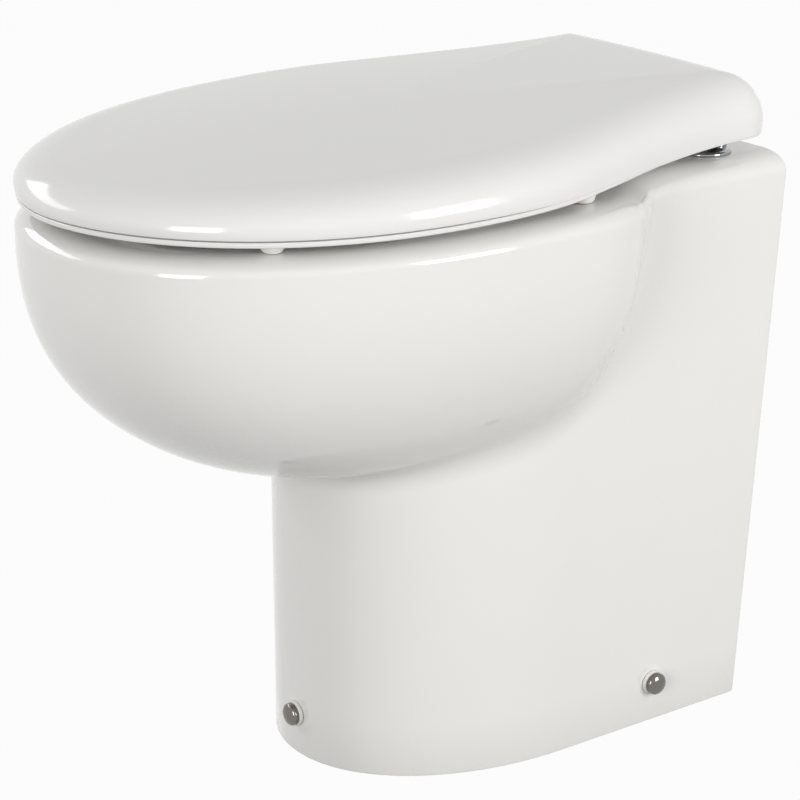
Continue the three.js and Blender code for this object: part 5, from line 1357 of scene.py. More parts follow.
class TOILET_OT_fixings(bpy.types.Operator):
    """Model the three floor fixings: collar, cap and bracket"""

    bl_idname = "toilet.fixings"
    bl_label = "Floor fixings"

    def collar(self, s):
        low, high, middle = extent("fixing_collar_right")
        r, thick = (high.z - low.z) / 2, high.x - low.x
        hole = s.screw + GAP
        profile = [(hole, 0), (r, 0), (r, thick * 0.45), (r * 0.93, thick), (hole, thick)]
        collar = turned("cap_collar", profile + [(hole, 0)], X, (low.x, *middle.yz))
        return soften(collar, 0.4 * MM, 3)

    def cap(self, s):
        low, high, middle = extent("fixing_cap_right")
        r, tall = (high.z - low.z) / 2, high.x - low.x
        inner, dome = r - s.cap_wall, tall - s.cap_base
        profile = [(inner, 0), (r - 0.3 * MM, 0), (r, 0.4 * MM), (r, s.cap_base)]
        for tucked, risen in quarter_round(16, 1):
            profile.append((max(r * (1 - tucked), 0), s.cap_base + dome * risen))
        for tucked, risen in reversed(quarter_round(8)):
            up = (dome - s.cap_wall) * risen
            profile.append((max(inner * (1 - tucked), 0), s.cap_base + up))
        return turned("screw_cap", profile + [(inner, 0)], X, (low.x, *middle.yz), 72)

    def bracket(self, s):
        low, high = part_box("floor_bracket_right")
        t, out, back = s.bracket, high.x, low.x
        outline = [(back, 0), (out - t, 0), (out - 0.4 * t, 0.2 * t), (out, t), (out, high.z)]
        outline += [(out - t, high.z), (out - t, 1.6 * t), (out - 1.6 * t, t), (back, t)]
        bracket = slab("wall_bracket", outline, low.y, high.y, along_x=False)
        rib = [(back + t, t * 0.8), (out - t * 0.8, t * 0.8), (out - t * 0.8, high.z - t)]
        weld(bracket, slab("rib", rib, high.y - t, high.y, along_x=False))
        soften(bracket, 0.6 * MM)
        screw = middle_of("fixing_screw_right")
        bore(bracket, s.bracket_hole, "X", screw, out - 2 * t, out + t)
        spot = ((back + out - t) / 2, screw.y, 0)
        bore(bracket, s.bracket_hole, "Z", spot, -t, 2 * t)
        return bracket

    def execute(self, context):
        s = sizes("fixing")
        for piece, node, slot, finish in (
            (self.collar(s), "fixing_collar", "white_plastic", "white_plastic"),
            # the caps take the chrome whose colour has the dim room's reflection painted in
            (self.cap(s), "fixing_cap", "chrome", "cap_chrome_painted_reflection"),
            (self.bracket(s), "floor_bracket", "steel", "steel"),
        ):
            copies = [("right", piece)]
            for place, angle in (("left", math.pi), ("front", -QUARTER)):
                change = shift_to(f"{node}_right", f"{node}_{place}", angle)
                copies.append((place, twin(piece, f"{piece.name}_{place}", change)))
            piece.name = f"{piece.name}_right"
            for place, copy in copies:
                dress(copy, "bowl", slot, f"{node}_{place}", finish=finish)
        return {"FINISHED"}


class TOILET_OT_pump(bpy.types.Operator):
    """Model the macerator pump: housing, motor, end cap, gland and their screws"""

    bl_idname = "toilet.pump"
    bl_label = "Pump"

    def housing(self, p):
        low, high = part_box("pump_housing")
        start, end, top = low.y, high.y, high.z
        face = start + p.neck_length
        lip = 1.25 * MM
        rim = p.chamber + p.wall / 2
        profile = [(0, start), (p.neck - lip, start), (p.neck, start + lip)]
        profile += [(p.neck, face - 2 * lip), (p.neck + 2 * lip, face)]
        profile += [(p.chamber - 2 * lip, face), (p.chamber, face + 2 * lip)]
        profile += [(p.chamber, end - 2 * p.wall), (rim, end - 1.8 * p.wall), (rim, end), (0, end)]
        housing = turned("pump_volute", profile, Y, PUMP, 96)
        half = 1.2 * MM
        rib_low = (-half, face + 3 * lip, PUMP.z + p.chamber - lip)
        rib_high = (half, end - 1.9 * p.wall, PUMP.z + rim - 0.3 * MM)
        rib = soften(block("rib", rib_low, rib_high), 0.5 * MM)
        weld(housing, round_row(rib, "ribs", 16, PUMP, "Y"))
        spot = (0, p.port_y, 0)
        weld(housing, soften(bar("port", p.port, "Z", spot, PUMP.z, top), 0.8 * MM))
        inner, floor = p.chamber - p.wall, face + p.wall
        inside = [(0, start - OVERRUN), (p.neck_bore, start - OVERRUN), (p.neck_bore, floor)]
        inside += [(inner, floor), (inner, end + OVERRUN), (0, end + OVERRUN)]
        carve(housing, turned("inside", inside, Y, PUMP, 72))
        bore(housing, p.port_bore, "Z", spot, PUMP.z, top + OVERRUN)
        return housing

    def motor(self, p):
        low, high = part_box("motor_body")
        start, end = low.y, high.y
        rim, r = p.chamber + p.wall / 2, p.motor
        groove = 0.8 * MM
        profile = [(0, start), (rim, start), (rim, start + p.flange)]
        profile += [(r + groove, start + p.flange), (r, start + 1.5 * p.flange)]
        for swage in (start + 2.6 * p.flange, end - 2.4 * p.flange):
            profile += [(r, swage), (r - groove, swage + groove)]
            profile += [(r - groove, swage + 3 * groove), (r, swage + 4 * groove)]
        profile += [(r, end - 2 * MM), (r - groove, end - groove), (r - 2 * MM, end), (0, end)]
        motor = soften(turned("motor_can", profile, Y, PUMP, 96), 0.4 * MM)
        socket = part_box("pump_shaft")[1].y + p.shaft / 2
        bore(motor, p.shaft + GAP, "Y", PUMP, start - OVERRUN, socket)
        return motor

    def end_cap(self, p):
        low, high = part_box("motor_end_cap")
        start, end = low.y, high.y
        depth, shoulder, recess = p.cap_inset, end - 4 * MM, end - 3 * MM
        profile = [(0, start), (p.motor, start), (p.motor, start + depth)]
        profile += [(p.motor - depth, shoulder), (p.motor - depth * 1.4, shoulder)]
        profile += [(p.hub * 1.6, shoulder), (p.hub * 1.5, end), (p.hub, end)]
        profile += [(p.hub, recess), (0, recess)]
        cap = soften(turned("motor_bell", profile, Y, PUMP, 96), 0.6 * MM)
        half, spot, reach = p.vent * 0.6, PUMP.z + (p.motor + p.hub) / 2, 5 * MM
        vent = block("vent", (-half, end - 8 * MM, spot - reach), (half, end, spot + reach))
        carve(cap, round_row(soften(vent, 0.8 * MM), "vents", 12, PUMP, "Y"))
        return cap

    def gland(self, p):
        low, high, middle = extent("cable_gland")
        r, tall = (high.x - low.x) / 2, high.z - low.z
        spot = Vector((0, middle.y, low.z))
        gland = soften(bar("lead_gland", r, "Z", spot, low.z, low.z + tall * 0.35, 6), 0.5 * MM)
        profile = [(0, tall * 0.3), (r * 0.78, tall * 0.3), (r * 0.78, tall * 0.75)]
        nut = turned("nut", profile + [(r * 0.6, tall), (0, tall)], Z, spot, 48)
        half = 0.5 * MM
        grip_low = (-half, middle.y + r * 0.7, low.z + tall * 0.38)
        grip_high = (half, middle.y + r * 0.86, low.z + tall * 0.74)
        grip = block("grip", grip_low, grip_high)
        weld(nut, round_row(grip, "grips", 12, Vector((0, middle.y, 0)), "Z"))
        weld(gland, nut)
        bore(gland, p.vent, "Z", spot, low.z - OVERRUN, high.z + OVERRUN, 32)
        return gland

    def screws(self, p):
        seat_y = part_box("motor_body")[0].y + p.flange
        seat = Vector((0, seat_y, PUMP.z + p.chamber - p.wall / 2))
        screw = hex_screw("pump_screws", seat, Y, p.screw, 4 * MM)
        screw.data.transform(shift_about(PUMP, TURN / 12, "Y"))
        return round_row(screw, "pump_screws", 6, PUMP, "Y")

    def execute(self, context):
        p = sizes("pump")
        dress(self.housing(p), "bowl", "black_plastic", "pump_housing")
        dress(self.motor(p), "bowl", "motor_paint", "motor_body")
        dress(self.end_cap(p), "bowl", "black_plastic", "motor_end_cap")
        dress(self.gland(p), "bowl", "black_plastic", "cable_gland")
        dress(self.screws(p), "bowl", "steel")
        return {"FINISHED"}


class TOILET_OT_mount(bpy.types.Operator):
    """Model the plate, saddles, pads and screws under the pump"""

    bl_idname = "toilet.mount"
    bl_label = "Pump mount"

    def base(self, p):
        low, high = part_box("pump_base")
        plate_top = low.z + PLATE
        base = soften(block("pump_plate", low, (high.x, high.y, plate_top)), 0.8 * MM)
        motor_low, motor_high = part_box("motor_body")
        first, last = motor_low.y + 3 * p.flange, motor_high.y - 3.2 * p.flange
        half, thick, sunk = 34 * MM, 6 * MM, 1 * MM
        outline = [(-half, plate_top - sunk), (half, plate_top - sunk)]
        outline += [(half * 0.93, high.z), (-half * 0.93, high.z)]
        for y in (first, last):
            saddle = slab("saddle", outline, y, y + thick, along_x=False)
            weld(base, soften(saddle, 1 * MM))
        bore(base, p.motor + GAP, "Y", PUMP, first - OVERRUN, last + thick + OVERRUN, 96)
        return base

    def pad(self):
        low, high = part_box("pump_pad_right")
        pad = soften(block("rubber_foot", low, high), 0.8 * MM)
        half, deep = 1 * MM, 1.4 * MM
        for y in np.linspace(low.y, high.y, 8)[1:-1]:
            slot_low = (low.x - OVERRUN, y - half, low.z - OVERRUN)
            carve(pad, block("slot", slot_low, (high.x + OVERRUN, y + half, low.z + deep)))
        return pad

    def screws(self, p):
        low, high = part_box("pump_base")
        across, margin, top = 53 * MM, 8 * MM, low.z + PLATE
        spots = [Vector((x, y, top)) for x in (-across, across)
                 for y in (low.y + margin, high.y - margin)]
        screw = hex_screw("mount_screws", spots[0], Z, p.screw, 3.6 * MM)
        others = [twin(screw, "mount_screw", Matrix.Translation(spot - spots[0]))
                  for spot in spots[1:]]
        return gather("mount_screws", screw, *others)

    def execute(self, context):
        p = sizes("pump")
        dress(self.base(p), "bowl", "steel", "pump_base")
        dress_pair(self.pad(), "rubber_foot", "bowl", "black_rubber", "pump_pad")
        dress(self.screws(p), "bowl", "steel")
        return {"FINISHED"}


class TOILET_OT_outlet(bpy.types.Operator):
    """Model the rubber boot from the bowl to the pump and its two clamps"""

    bl_idname = "toilet.outlet"
    bl_label = "Outlet boot"

    def boot(self, s, b, p):
        wide_bore, bore_radius = b.spigot + GAP, p.neck + GAP
        wide, narrow = wide_bore + s.boot_wall, bore_radius + s.boot_wall
        tip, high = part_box("outlet_boot")[1].yz
        ledge = high - s.boot_sleeve
        taper_end = ledge - s.boot_taper
        bend_top = PUMP.z + s.boot_bend
        bead, lip = 0.8 * MM, 1.5 * MM
        down = [(high, wide), (high, wide + bead), (high - 2 * lip, wide + bead)]
        down += [(high - 3 * lip, wide), (ledge, wide), (taper_end, narrow)]
        half_rib, margin, swell = 4 * MM, 8 * MM, 2 * MM
        for z in np.linspace(taper_end - margin, bend_top + margin, 4):
            for part in np.linspace(-1, 1, 7):
                rise = swell * math.cos(part * QUARTER) ** 2
                down.append((z - half_rib * part, narrow + rise))
        bend = arc(b.outlet_y + s.boot_bend, bend_top, s.boot_bend, math.pi, 1.5 * math.pi, 14)
        end = Vector((0, tip, PUMP.z))
        route = line(b.outlet_y, *[z for z, _ in down]) + bend
        route += [end - Y * 2 * MM, end]
        radii = [r for _, r in down] + [narrow] * (len(bend) + 1) + [narrow - 0.8 * MM]
        rings = tube_rings(route, radii, 64)
        route = line(b.outlet_y, high, ledge, ledge - 0.5 * MM, taper_end) + bend + [end]
        radii = [wide_bore, wide_bore, wide_bore - s.boot_wall, bore_radius]
        radii += [bore_radius] * (len(bend) + 1)
        rings += reversed(tube_rings(route, radii, 64))
        return skin("soil_boot", rings, joined=True)

    def clamp(self, name, node, centre, radius, axis, s):
        inner, half = radius + GAP, s.band_width / 2
        band = turned(name, hoop(inner, inner + s.band, half), axis, centre, 60)
        bpy.ops.object.mode_set(mode="EDIT")
        bpy.ops.mesh.select_mode(type="FACE")
        bpy.ops.mesh.select_all(action="DESELECT")
        mesh = bmesh.from_edit_mesh(band.data)
        for face in mesh.faces:
            away = face.calc_center_median() - centre
            away -= axis * away.dot(axis)
            face.select_set(face.normal.dot(away.normalized()) > 0.9)
        bmesh.update_edit_mesh(band.data)
        bpy.ops.mesh.inset(thickness=1.1 * MM, depth=-s.band * 0.5, use_individual=True)
        bpy.ops.object.mode_set(mode="OBJECT")
        along = Y if axis.z else Z
        half_deep, half_long, half_wide = 4 * MM, 8 * MM, 6 * MM
        middle = Vector((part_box(node)[0].x + half_deep, centre.y, centre.z))
        reach = Vector((half_deep, 0, 0)) + along * half_long + axis * half_wide
        weld(band, soften(block("worm_case", middle - reach, middle + reach), 1.4 * MM, 3))
        foot = middle + along * (half_long - 1 * MM)
        tip = foot + along * 5 * MM
        weld(band, soften(rod("worm", s.worm, foot, tip, 6), 0.5 * MM))
        slot = Vector((0.5 * MM, 0, 0)) + axis * (2 * s.worm) + along * 1 * MM
        carve(band, block("driver_slot", tip - slot, tip + slot))
        return band

    def execute(self, context):
        s, b, p = sizes("pipes"), sizes("basin"), sizes("pump")
        dress(self.boot(s, b, p), "bowl", "black_rubber", "outlet_boot")
        wide, narrow = (r + GAP + s.boot_wall for r in (b.spigot, p.neck))
        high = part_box("outlet_boot")[1].z
        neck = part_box("pump_housing")[0].y
        for name, node, centre, radius, axis in (
            ("clamp_upper", "boot_clamp_upper", (0, b.outlet_y, high - s.boot_sleeve / 2), wide, Z),
            ("clamp_lower", "boot_clamp_lower", (0, neck + s.boot_grip / 2, PUMP.z), narrow, Y),
        ):
            piece = self.clamp(name, node, Vector(centre), radius, axis, s)
            dress(piece, "bowl", "steel", node)
        return {"FINISHED"}


class TOILET_OT_discharge(bpy.types.Operator):
    """Model the discharge elbow, its band clamp and the hose tail"""

    bl_idname = "toilet.discharge"
    bl_label = "Discharge"

    def elbow(self, s, p):
        low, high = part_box("discharge_elbow")
        pipe_z = middle_of("discharge_tail").z
        port_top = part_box("pump_housing")[1].z
        bend_z = pipe_z - s.elbow_bend
        bend = arc(p.port_y + s.elbow_bend, bend_z, s.elbow_bend, math.pi, QUARTER, 12)
        collar, lip, end = s.elbow + 1.4 * MM, 0.8 * MM, high.y - 1 * MM
        stem = line(p.port_y, low.z, low.z + lip, low.z + 6 * MM, low.z + 7 * MM)
        route = stem + bend + line(end, pipe_z)
        radii = [collar - lip, collar, collar] + [s.elbow] * (len(bend) + 2)
        elbow = skin("outlet_elbow", tube_rings(route, radii, 64))
        spot = (0, 0, pipe_z)
        flange = bar("flange", s.flange, "Y", spot, high.y - s.flange_thickness, high.y, 96)
        weld(elbow, soften(flange, 0.8 * MM))
        web_end, half = high.y - 2 * MM, 1.8 * MM
        web = [(p.port_y + s.elbow * 0.6, port_top), (p.port_y + s.elbow * 1.6, port_top + 12 * MM)]
        web += [(web_end, pipe_z - s.flange * 0.9), (web_end, pipe_z), (p.port_y, bend_z)]
        weld(elbow, soften(slab("web", web, -half, half), 0.6 * MM))
        route = line(p.port_y, port_top) + bend + line(high.y + OVERRUN, pipe_z)
        carve(elbow, skin("elbow_bore", tube_rings(route, [p.port_bore] * len(route), 48)))
        spot = (0, p.port_y, 0)
        bore(elbow, p.port + GAP, "Z", spot, low.z - OVERRUN, port_top + GAP)
        return elbow

    def tail(self, s):
        low, high, middle = extent("discharge_tail")
        start, end = low.y, high.y
        flange_end = start + s.flange_thickness
        edge, fillet, crest = 0.8 * MM, 2 * MM, s.tail + s.barb
        profile = [(s.tail_bore, start), (s.flange - edge, start), (s.flange, start + edge)]
        profile += [(s.flange, flange_end - edge), (s.flange - edge, flange_end)]
        profile += [(s.tail + fillet, flange_end), (s.tail, flange_end + fillet)]
        for k in (3, 2, 1):
            y = end - k * s.barb_pitch
            profile += [(s.tail, y), (crest, y + s.barb), (crest, y + 1.4 * s.barb)]
            profile += [(s.tail - s.barb / 2, y + s.barb_pitch - GAP)]
        profile += [(s.tail - s.barb, end), (s.tail_bore, end), (s.tail_bore, start)]
        return turned("outlet_tail", profile, Y, (0, 0, middle.z), 80)

    def band(self, s):
        low, high, middle = extent("discharge_band")
        start, end = low.y, high.y
        wide, r, wall = (high.x - low.x) / 2, s.flange + GAP, 3 * MM
        hook, edge = r - 4 * MM, r + wall * 0.4
        profile = [(r, start + wall), (hook, start + wall), (hook, start), (edge, start)]
        profile += [(wide, start + wall), (wide, end - wall), (edge, end), (hook, end)]
        profile += [(hook, end - wall), (r, end - wall), (r, start + wall)]
        pipe_z = middle_of("discharge_tail").z
        band = soften(turned("flange_band", profile, Y, (0, 0, pipe_z), 80), 0.4 * MM)
        y, top, half = middle.y, pipe_z + wide, 6 * MM
        foot, head = (3 * MM, y - half, top - 2 * MM), (5.4 * MM, y + half, top + 9 * MM)
        ear = soften(block("ear", foot, head), 1 * MM)
        for side in (ear, twin(ear, "other_ear", MIRROR)):
            weld(band, side)
        spot = (0, y, top + 5 * MM)
        bolt = bar("bolt", 2 * MM, "X", spot, -9 * MM, 9 * MM, 24)
        weld(band, soften(bolt, 0.4 * MM))
        nut = bar("nut", 4 * MM, "X", spot, 5 * MM, 8 * MM, 6)
        weld(band, soften(nut, 0.5 * MM))
        return band

    def execute(self, context):
        s, p = sizes("pipes"), sizes("pump")
        dress(self.elbow(s, p), "bowl", "black_plastic", "discharge_elbow")
        dress(self.tail(s), "bowl", "black_plastic", "discharge_tail")
        dress(self.band(s), "bowl", "steel", "discharge_band")
        return {"FINISHED"}


class TOILET_OT_rinse(bpy.types.Operator):
    """Model the rinse valve, its coil and bracket, the inlet and the hose between them"""

    bl_idname = "toilet.rinse"
    bl_label = "Rinse valve and hose"

    def barbed(self, name, foot, axis, s):
        r, third = s.barb, s.barb_length / 3
        crest, tip = r + 0.7 * MM, r - 0.7 * MM
        profile = [(0, -OVERRUN), (r, -OVERRUN), (r, third), (crest, third), (r, 2 * third)]
        profile += [(crest, 2 * third), (tip, s.barb_length), (0, s.barb_length)]
        return turned(name, profile, axis, foot, 40)

    def body(self, s):
        low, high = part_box("valve_body")
        axis = middle_of("valve_coil")
        back, top = high.y - s.barb_length, high.z - s.barb_length
        body = soften(block("valve_case", low, (high.x, back, top)), 2 * MM, 3)
        port_x = low.x + s.chamber_depth / 2
        weld(body, self.barbed("inlet", (port_x, back, axis.z), Y, s))
        weld(body, self.barbed("outlet", (port_x, axis.y, top), Z, s))
        wide, thin, thick = 12 * MM, 1.4 * MM, 2.4 * MM
        cover = [(0, 0), (wide, 0), (wide, thin), (8 * MM, thick), (0, thick)]
        spot = (high.x - 0.4 * MM, *axis.yz)
        weld(body, soften(turned("cover", cover, X, spot), 0.4 * MM))
        bore(body, s.chamber, "X", axis, low.x - OVERRUN, low.x + s.seat_depth)
        bore(body, s.seat, "X", axis, low.x, low.x + s.chamber_depth)
        spot = (port_x, *axis.yz)
        bore(body, s.barb_bore, "Y", spot, axis.y, high.y + OVERRUN, 32)
        bore(body, s.barb_bore, "Z", spot, axis.z, high.z + OVERRUN, 32)
        return body

    def coil(self, s):
        low, high, middle = extent("valve_coil")
        half, long, plate = (high.y - low.y) / 2, high.x - low.x, 2.4 * MM
        wide, waist = half * 0.96, half * 0.86
        profile = [(0, plate), (wide, plate), (wide, 2 * plate), (waist, 2 * plate)]
        profile += [(waist, long - 2 * plate), (wide, long - 2 * plate)]
        profile += [(wide, long - plate), (0, long - plate)]
        coil = soften(turned("coil_bobbin", profile, X, (low.x, *middle.yz)), 0.5 * MM)
        reach, side = 7 * MM, 6 * MM
        foot = (middle.x - reach, middle.y - side, middle.z + half * 0.6)
        head = (middle.x + reach, middle.y + side, high.z + 2 * MM)
        weld(coil, soften(block("terminal_block", foot, head), 1 * MM))
        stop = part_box("valve_plunger")[0].x - 3.2 * MM
        bore(coil, s.plunger, "X", middle, stop, high.x + OVERRUN)
        return coil

    def yoke(self, s):
        low, high, middle = extent("valve_coil")
        plate = 2.2 * MM
        outline = [(low.x, high.z), (low.x, low.z), (high.x, low.z), (high.x, high.z)]
        outline += [(high.x - plate, high.z), (high.x - plate, low.z + plate)]
        outline += [(low.x + plate, low.z + plate), (low.x + plate, high.z)]
        yoke = soften(slab("coil_yoke", outline, low.y, high.y, along_x=False), 0.7 * MM)
        bore(yoke, s.plunger, "X", middle, middle.x, high.x + OVERRUN)
        blades = []
        half, side = 0.4 * MM, 3.1 * MM
        for x in (middle.x - 3.5 * MM, middle.x + 3.5 * MM):
            foot = (x - half, middle.y - side, high.z + 1 * MM)
            head = (x + half, middle.y + side, high.z + 9 * MM)
            blades.append(soften(block("blade", foot, head), 0.3 * MM))
        return gather("coil_yoke", yoke, *blades)

    def bracket(self, s):
        low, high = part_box("valve_bracket")
        t, wide = s.strip, high.y - low.y
        x = low.x + wide / 2
        outline = [(low.x, low.z), (low.x + wide, low.z), (low.x + wide, low.z + t), (x, low.z + t)]
        outline += [(x, high.z - 1.4 * t), (x + 0.4 * t, high.z - t), (high.x, high.z - t)]
        outline += [(high.x, high.z), (x - 0.4 * t, high.z), (x - t, high.z - 0.6 * t)]
        outline += [(x - t, low.z + t), (low.x, low.z + t)]
        bracket = soften(slab("valve_strip", outline, low.y, high.y, along_x=False), 0.5 * MM)
        hole, margin = 3.2 * MM, 40 * MM
        for z in np.linspace(low.z + margin, high.z - margin, 4):
            bore(bracket, hole, "X", (0, (low.y + high.y) / 2, z), x - 2 * t, x + t, 32)
        return bracket

    def inlet(self, s):
        low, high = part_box("rinse_inlet")
        z = RIM - sizes("basin").rinse_drop
        nut_end = NUT_FACE + s.nut
        bend = arc(nut_end + s.tube_run, z - s.tube_bend, s.tube_bend, QUARTER, 0, 12)
        start = line(nut_end - 1.5 * MM, z) + line(nut_end + 1 * MM, z)
        route = start + bend + line(bend[-1].y, low.z + 1 * MM, low.z)
        radii = [s.tube] * (len(route) - 1) + [s.tube - 0.7 * MM]
        inlet = skin("rinse_elbow", tube_rings(route, radii, 40))
        wide, thick = (high.x - low.x) / 2, NUT_FACE + s.nut / 3
        profile = [(0, NUT_FACE), (wide, NUT_FACE), (wide, thick), (0, thick)]
        spot = (0, 0, z)
        weld(inlet, turned("washer", profile, Y, spot))
        weld(inlet, soften(bar("nut", wide * 0.96, "Y", spot, NUT_FACE, nut_end, 6), 0.8 * MM))
        weld(inlet, bar("stub", 9.7 * MM, "Y", spot, low.y, nut_end - 1 * MM))
        start = line(low.y - OVERRUN, z) + line(nut_end, z)
        route = start + bend + line(bend[-1].y, low.z - OVERRUN)
        radii = [s.tube - s.hose_wall] * len(route)
        carve(inlet, skin("rinse_bore", tube_rings(route, radii, 32)))
        return inlet

    def hose_route(self, s):
        """The hose's line from the valve's upper barb to the inlet, as a smooth double bend."""
        low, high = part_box("rinse_hose")
        valve_low, valve_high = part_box("valve_body")
        inlet_low, inlet_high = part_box("rinse_inlet")
        foot = Vector((valve_low.x + s.chamber_depth / 2, middle_of("valve_coil").y, low.z))
        head = Vector((0, inlet_high.y - s.tube, high.z))
        bend_low = Vector((foot.x, foot.y, valve_high.z + OVERRUN))
        bend_high = Vector((head.x, head.y, inlet_low.z - OVERRUN))
        reach = Z * (bend_high.z - bend_low.z) * 0.45
        points = [bend_low, bend_low + reach, bend_high - reach, bend_high]
        fine = [foot, foot.lerp(bend_low, 0.5)]
        for t in np.linspace(0, 1, 61):
            shares = ((1 - t) ** 3, 3 * t * (1 - t) ** 2, 3 * t**2 * (1 - t), t**3)
            fine.append(sum((p * w for p, w in zip(points, shares)), Vector()))
        return fine + [bend_high.lerp(head, 0.5), head]

    def hose(self, s):
        fine = self.hose_route(s)
        runs = [0.0]
        for a, b in zip(fine, fine[1:]):
            runs.append(runs[-1] + (b - a).length)
        steps = 4
        count = int(runs[-1] / s.hose_pitch) * steps
        route, radii = [], []
        for k in range(count + 1):
            along = runs[-1] * k / count
            place = [float(np.interp(along, runs, [p[i] for p in fine])) for i in range(3)]
            route.append(Vector(place))
            crest = 0.5 - 0.5 * math.cos(k * TURN / steps)
            radii.append(s.hose - s.hose_rib * (1 - crest))
        outer = tube_rings(route, radii, 40)
        smooth = route[::steps]
        inner = tube_rings(smooth, [s.hose - s.hose_wall + 0.1 * MM] * len(smooth), 40)
        return skin("rinse_pipe", outer + list(reversed(inner)), joined=True)

    def clip(self, spot, s):
        inner, outer, half = s.hose + 0.1 * MM, s.hose + 1.1 * MM, 3 * MM
        clip = soften(turned("hose_clip_low", hoop(inner, outer, half), Z, spot, 48), 0.3 * MM)
        side = 1.4 * MM
        low = spot + Vector((-side, outer - 0.5 * MM, -half))
        high = spot + Vector((side, outer + 3 * MM, half))
        weld(clip, soften(block("ear", low, high), 0.5 * MM))
        return clip

    def execute(self, context):
        s = sizes("valve")
        dress(self.body(s), "bowl", "white_plastic", "valve_body")
        dress(self.coil(s), "bowl", "black_plastic", "valve_coil")
        dress(self.bracket(s), "bowl", "steel", "valve_bracket")
        dress(self.inlet(s), "bowl", "white_plastic", "rinse_inlet")
        dress(self.hose(s), "bowl", "hose_rubber", "rinse_hose")
        dress(self.yoke(s), "bowl", "steel")
        route, margin = self.hose_route(s), Z * 5 * MM
        low, high = route[0] + margin, route[-1] - margin
        clip = self.clip(low, s)
        other = twin(clip, "hose_clip_high", Matrix.Translation(high - low))
        dress(clip, "bowl", "steel")
        dress(other, "bowl", "steel")
        return {"FINISHED"}


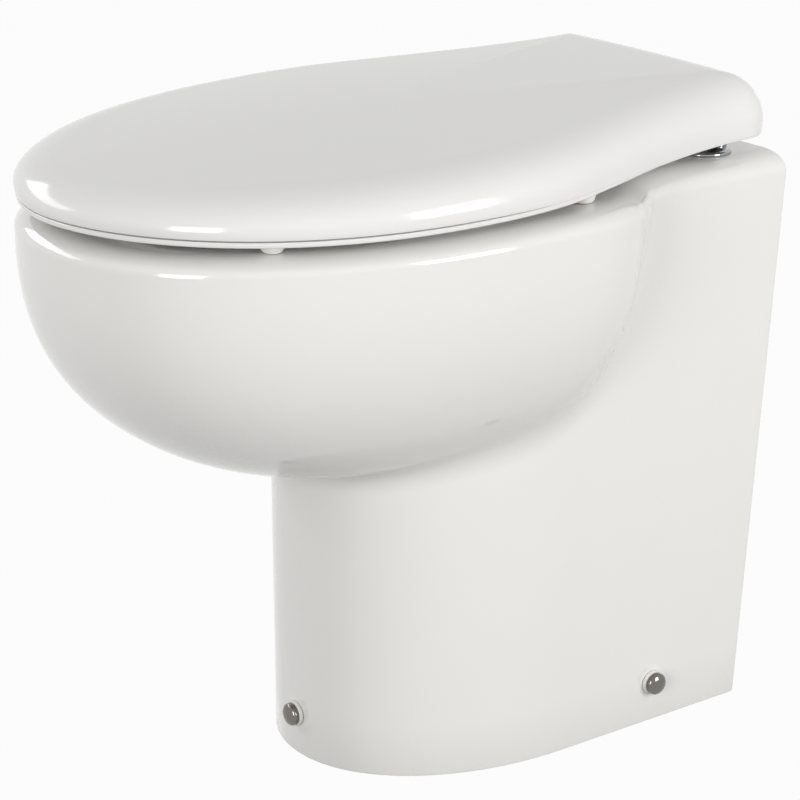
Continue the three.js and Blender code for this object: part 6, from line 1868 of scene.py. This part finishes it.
class TOILET_OT_stage(bpy.types.Operator):
    """Set up the floor, the lamps, the world and the camera"""

    bl_idname = "toilet.stage"
    bl_label = "Stage"

    def seen_by(self, tree, *rays):
        """1 for the rays that see the plain backdrop, 0 for the rays that light the object."""
        path = add_node(tree, "ShaderNodeLightPath")
        share = path.outputs[rays[0]]
        for ray in rays[1:]:
            inputs = {0: share, 1: path.outputs[ray]}
            share = add_node(tree, "ShaderNodeMath", {"operation": "MAXIMUM"}, inputs).outputs[0]
        return share

    def floor(self):
        clear_selection()
        bpy.ops.mesh.primitive_plane_add(size=FLOOR_SIZE, location=(0, 0, -0.2 * MM))
        floor = bpy.context.object
        floor.name = "studio_floor"
        material = bpy.data.materials.new("studio_floor")
        tree = empty_tree(material)
        seen = self.seen_by(tree, "Is Camera Ray", "Is Glossy Ray")
        inputs = {0: seen, 1: FLOOR_SHARE}
        share = add_node(tree, "ShaderNodeMath", {"operation": "MULTIPLY"}, inputs).outputs[0]
        matt = add_node(tree, "ShaderNodeBsdfDiffuse", inputs={"Color": to_linear(FLOOR_GREY)})
        glow = add_node(tree, "ShaderNodeEmission", inputs={"Color": WHITE, "Strength": 1.0})
        inputs = {0: share, 1: matt.outputs[0], 2: glow.outputs[0]}
        mix = add_node(tree, "ShaderNodeMixShader", inputs=inputs)
        add_node(tree, "ShaderNodeOutputMaterial", inputs={"Surface": mix.outputs[0]})
        floor.data.materials.append(material)

    def world(self):
        world = bpy.data.worlds.new("studio")
        bpy.context.scene.world = world
        tree = empty_tree(world)
        seen = self.seen_by(tree, "Is Camera Ray", "Is Glossy Ray", "Is Transmission Ray")
        shades = {0: seen}
        for place, strength in ((1, ROOM_LIGHT), (2, 1.0)):
            inputs = {"Color": WHITE, "Strength": strength}
            shades[place] = add_node(tree, "ShaderNodeBackground", inputs=inputs).outputs[0]
        mix = add_node(tree, "ShaderNodeMixShader", inputs=shades)
        add_node(tree, "ShaderNodeOutputWorld", inputs={"Surface": mix.outputs[0]})

    def aim(self, data, place, view):
        """Stands a lamp or a camera in its place, looking along a line."""
        aimed = bpy.data.objects.new(data.name, data)
        bpy.context.scene.collection.objects.link(aimed)
        aimed.location = place
        aimed.rotation_mode = "QUATERNION"
        aimed.rotation_quaternion = view.to_track_quat("-Z", "Y")
        return aimed

    def lamp(self, name, bearing, elevation, distance, wide, high, watts):
        """A softbox aimed at the bowl. Bearings turn from +X toward +Y."""
        a, e = math.radians(bearing), math.radians(elevation)
        away = Vector((math.cos(a) * math.cos(e), math.sin(a) * math.cos(e), math.sin(e)))
        data = bpy.data.lights.new(name, "AREA")
        data.shape = "RECTANGLE"
        data.size, data.size_y = wide, high
        data.energy = watts
        self.aim(data, AIM + away * distance, -away)

    def camera(self):
        data = bpy.data.cameras.new("camera")
        data.sensor_width = SENSOR
        data.lens = LENS
        data.clip_end = FLOOR_SIZE
        bpy.context.scene.camera = self.aim(data, CAMERA_PLACE, CAMERA_VIEW)

    def execute(self, context):
        self.floor()
        self.world()
        for softbox in SOFTBOXES:
            self.lamp(*softbox)
        self.camera()
        context.scene.view_settings.view_transform = "Standard"
        return {"FINISHED"}


OPERATORS = (
    TOILET_OT_stage,
    TOILET_OT_frame_finishes,
    TOILET_OT_china,
    TOILET_OT_lid,
    TOILET_OT_seat,
    TOILET_OT_buffers,
    TOILET_OT_hinges,
    TOILET_OT_fixings,
    TOILET_OT_pump,
    TOILET_OT_mount,
    TOILET_OT_outlet,
    TOILET_OT_discharge,
    TOILET_OT_rinse,
)


class TOILET_PT_panel(bpy.types.Panel):
    """Lists the pieces of the marine toilet"""

    bl_idname = "TOILET_PT_panel"
    bl_label = "Marine Toilet"
    bl_space_type = "VIEW_3D"
    bl_region_type = "UI"
    bl_category = "Marine Toilet"

    def draw(self, context):
        for operator in OPERATORS:
            self.layout.operator(operator.bl_idname)
        for group, kind in GROUPS:
            box = self.layout.box()
            box.label(text=group.capitalize())
            settings = getattr(context.scene.marine_toilet, group)
            for key in kind.__annotations__:
                box.prop(settings, key)


class MarineToilet(bpy.types.PropertyGroup):
    """Holds every group of sizes, and the finishes."""

    __annotations__ = {
        group: bpy.props.PointerProperty(type=kind, name=group.capitalize())
        for group, kind in GROUPS
    }


CLASSES = tuple(kind for _, kind in GROUPS) + (MarineToilet,) + OPERATORS + (TOILET_PT_panel,)


def register():
    for kind in CLASSES:
        bpy.utils.register_class(kind)
    bpy.types.Scene.marine_toilet = bpy.props.PointerProperty(type=MarineToilet)


def unregister():
    del bpy.types.Scene.marine_toilet
    for kind in reversed(CLASSES):
        bpy.utils.unregister_class(kind)


def main():
    register()
    for operator in OPERATORS:
        group, name = operator.bl_idname.split(".")
        getattr(getattr(bpy.ops, group), name)()
    clear_selection()


if __name__ == "__main__":
    main()
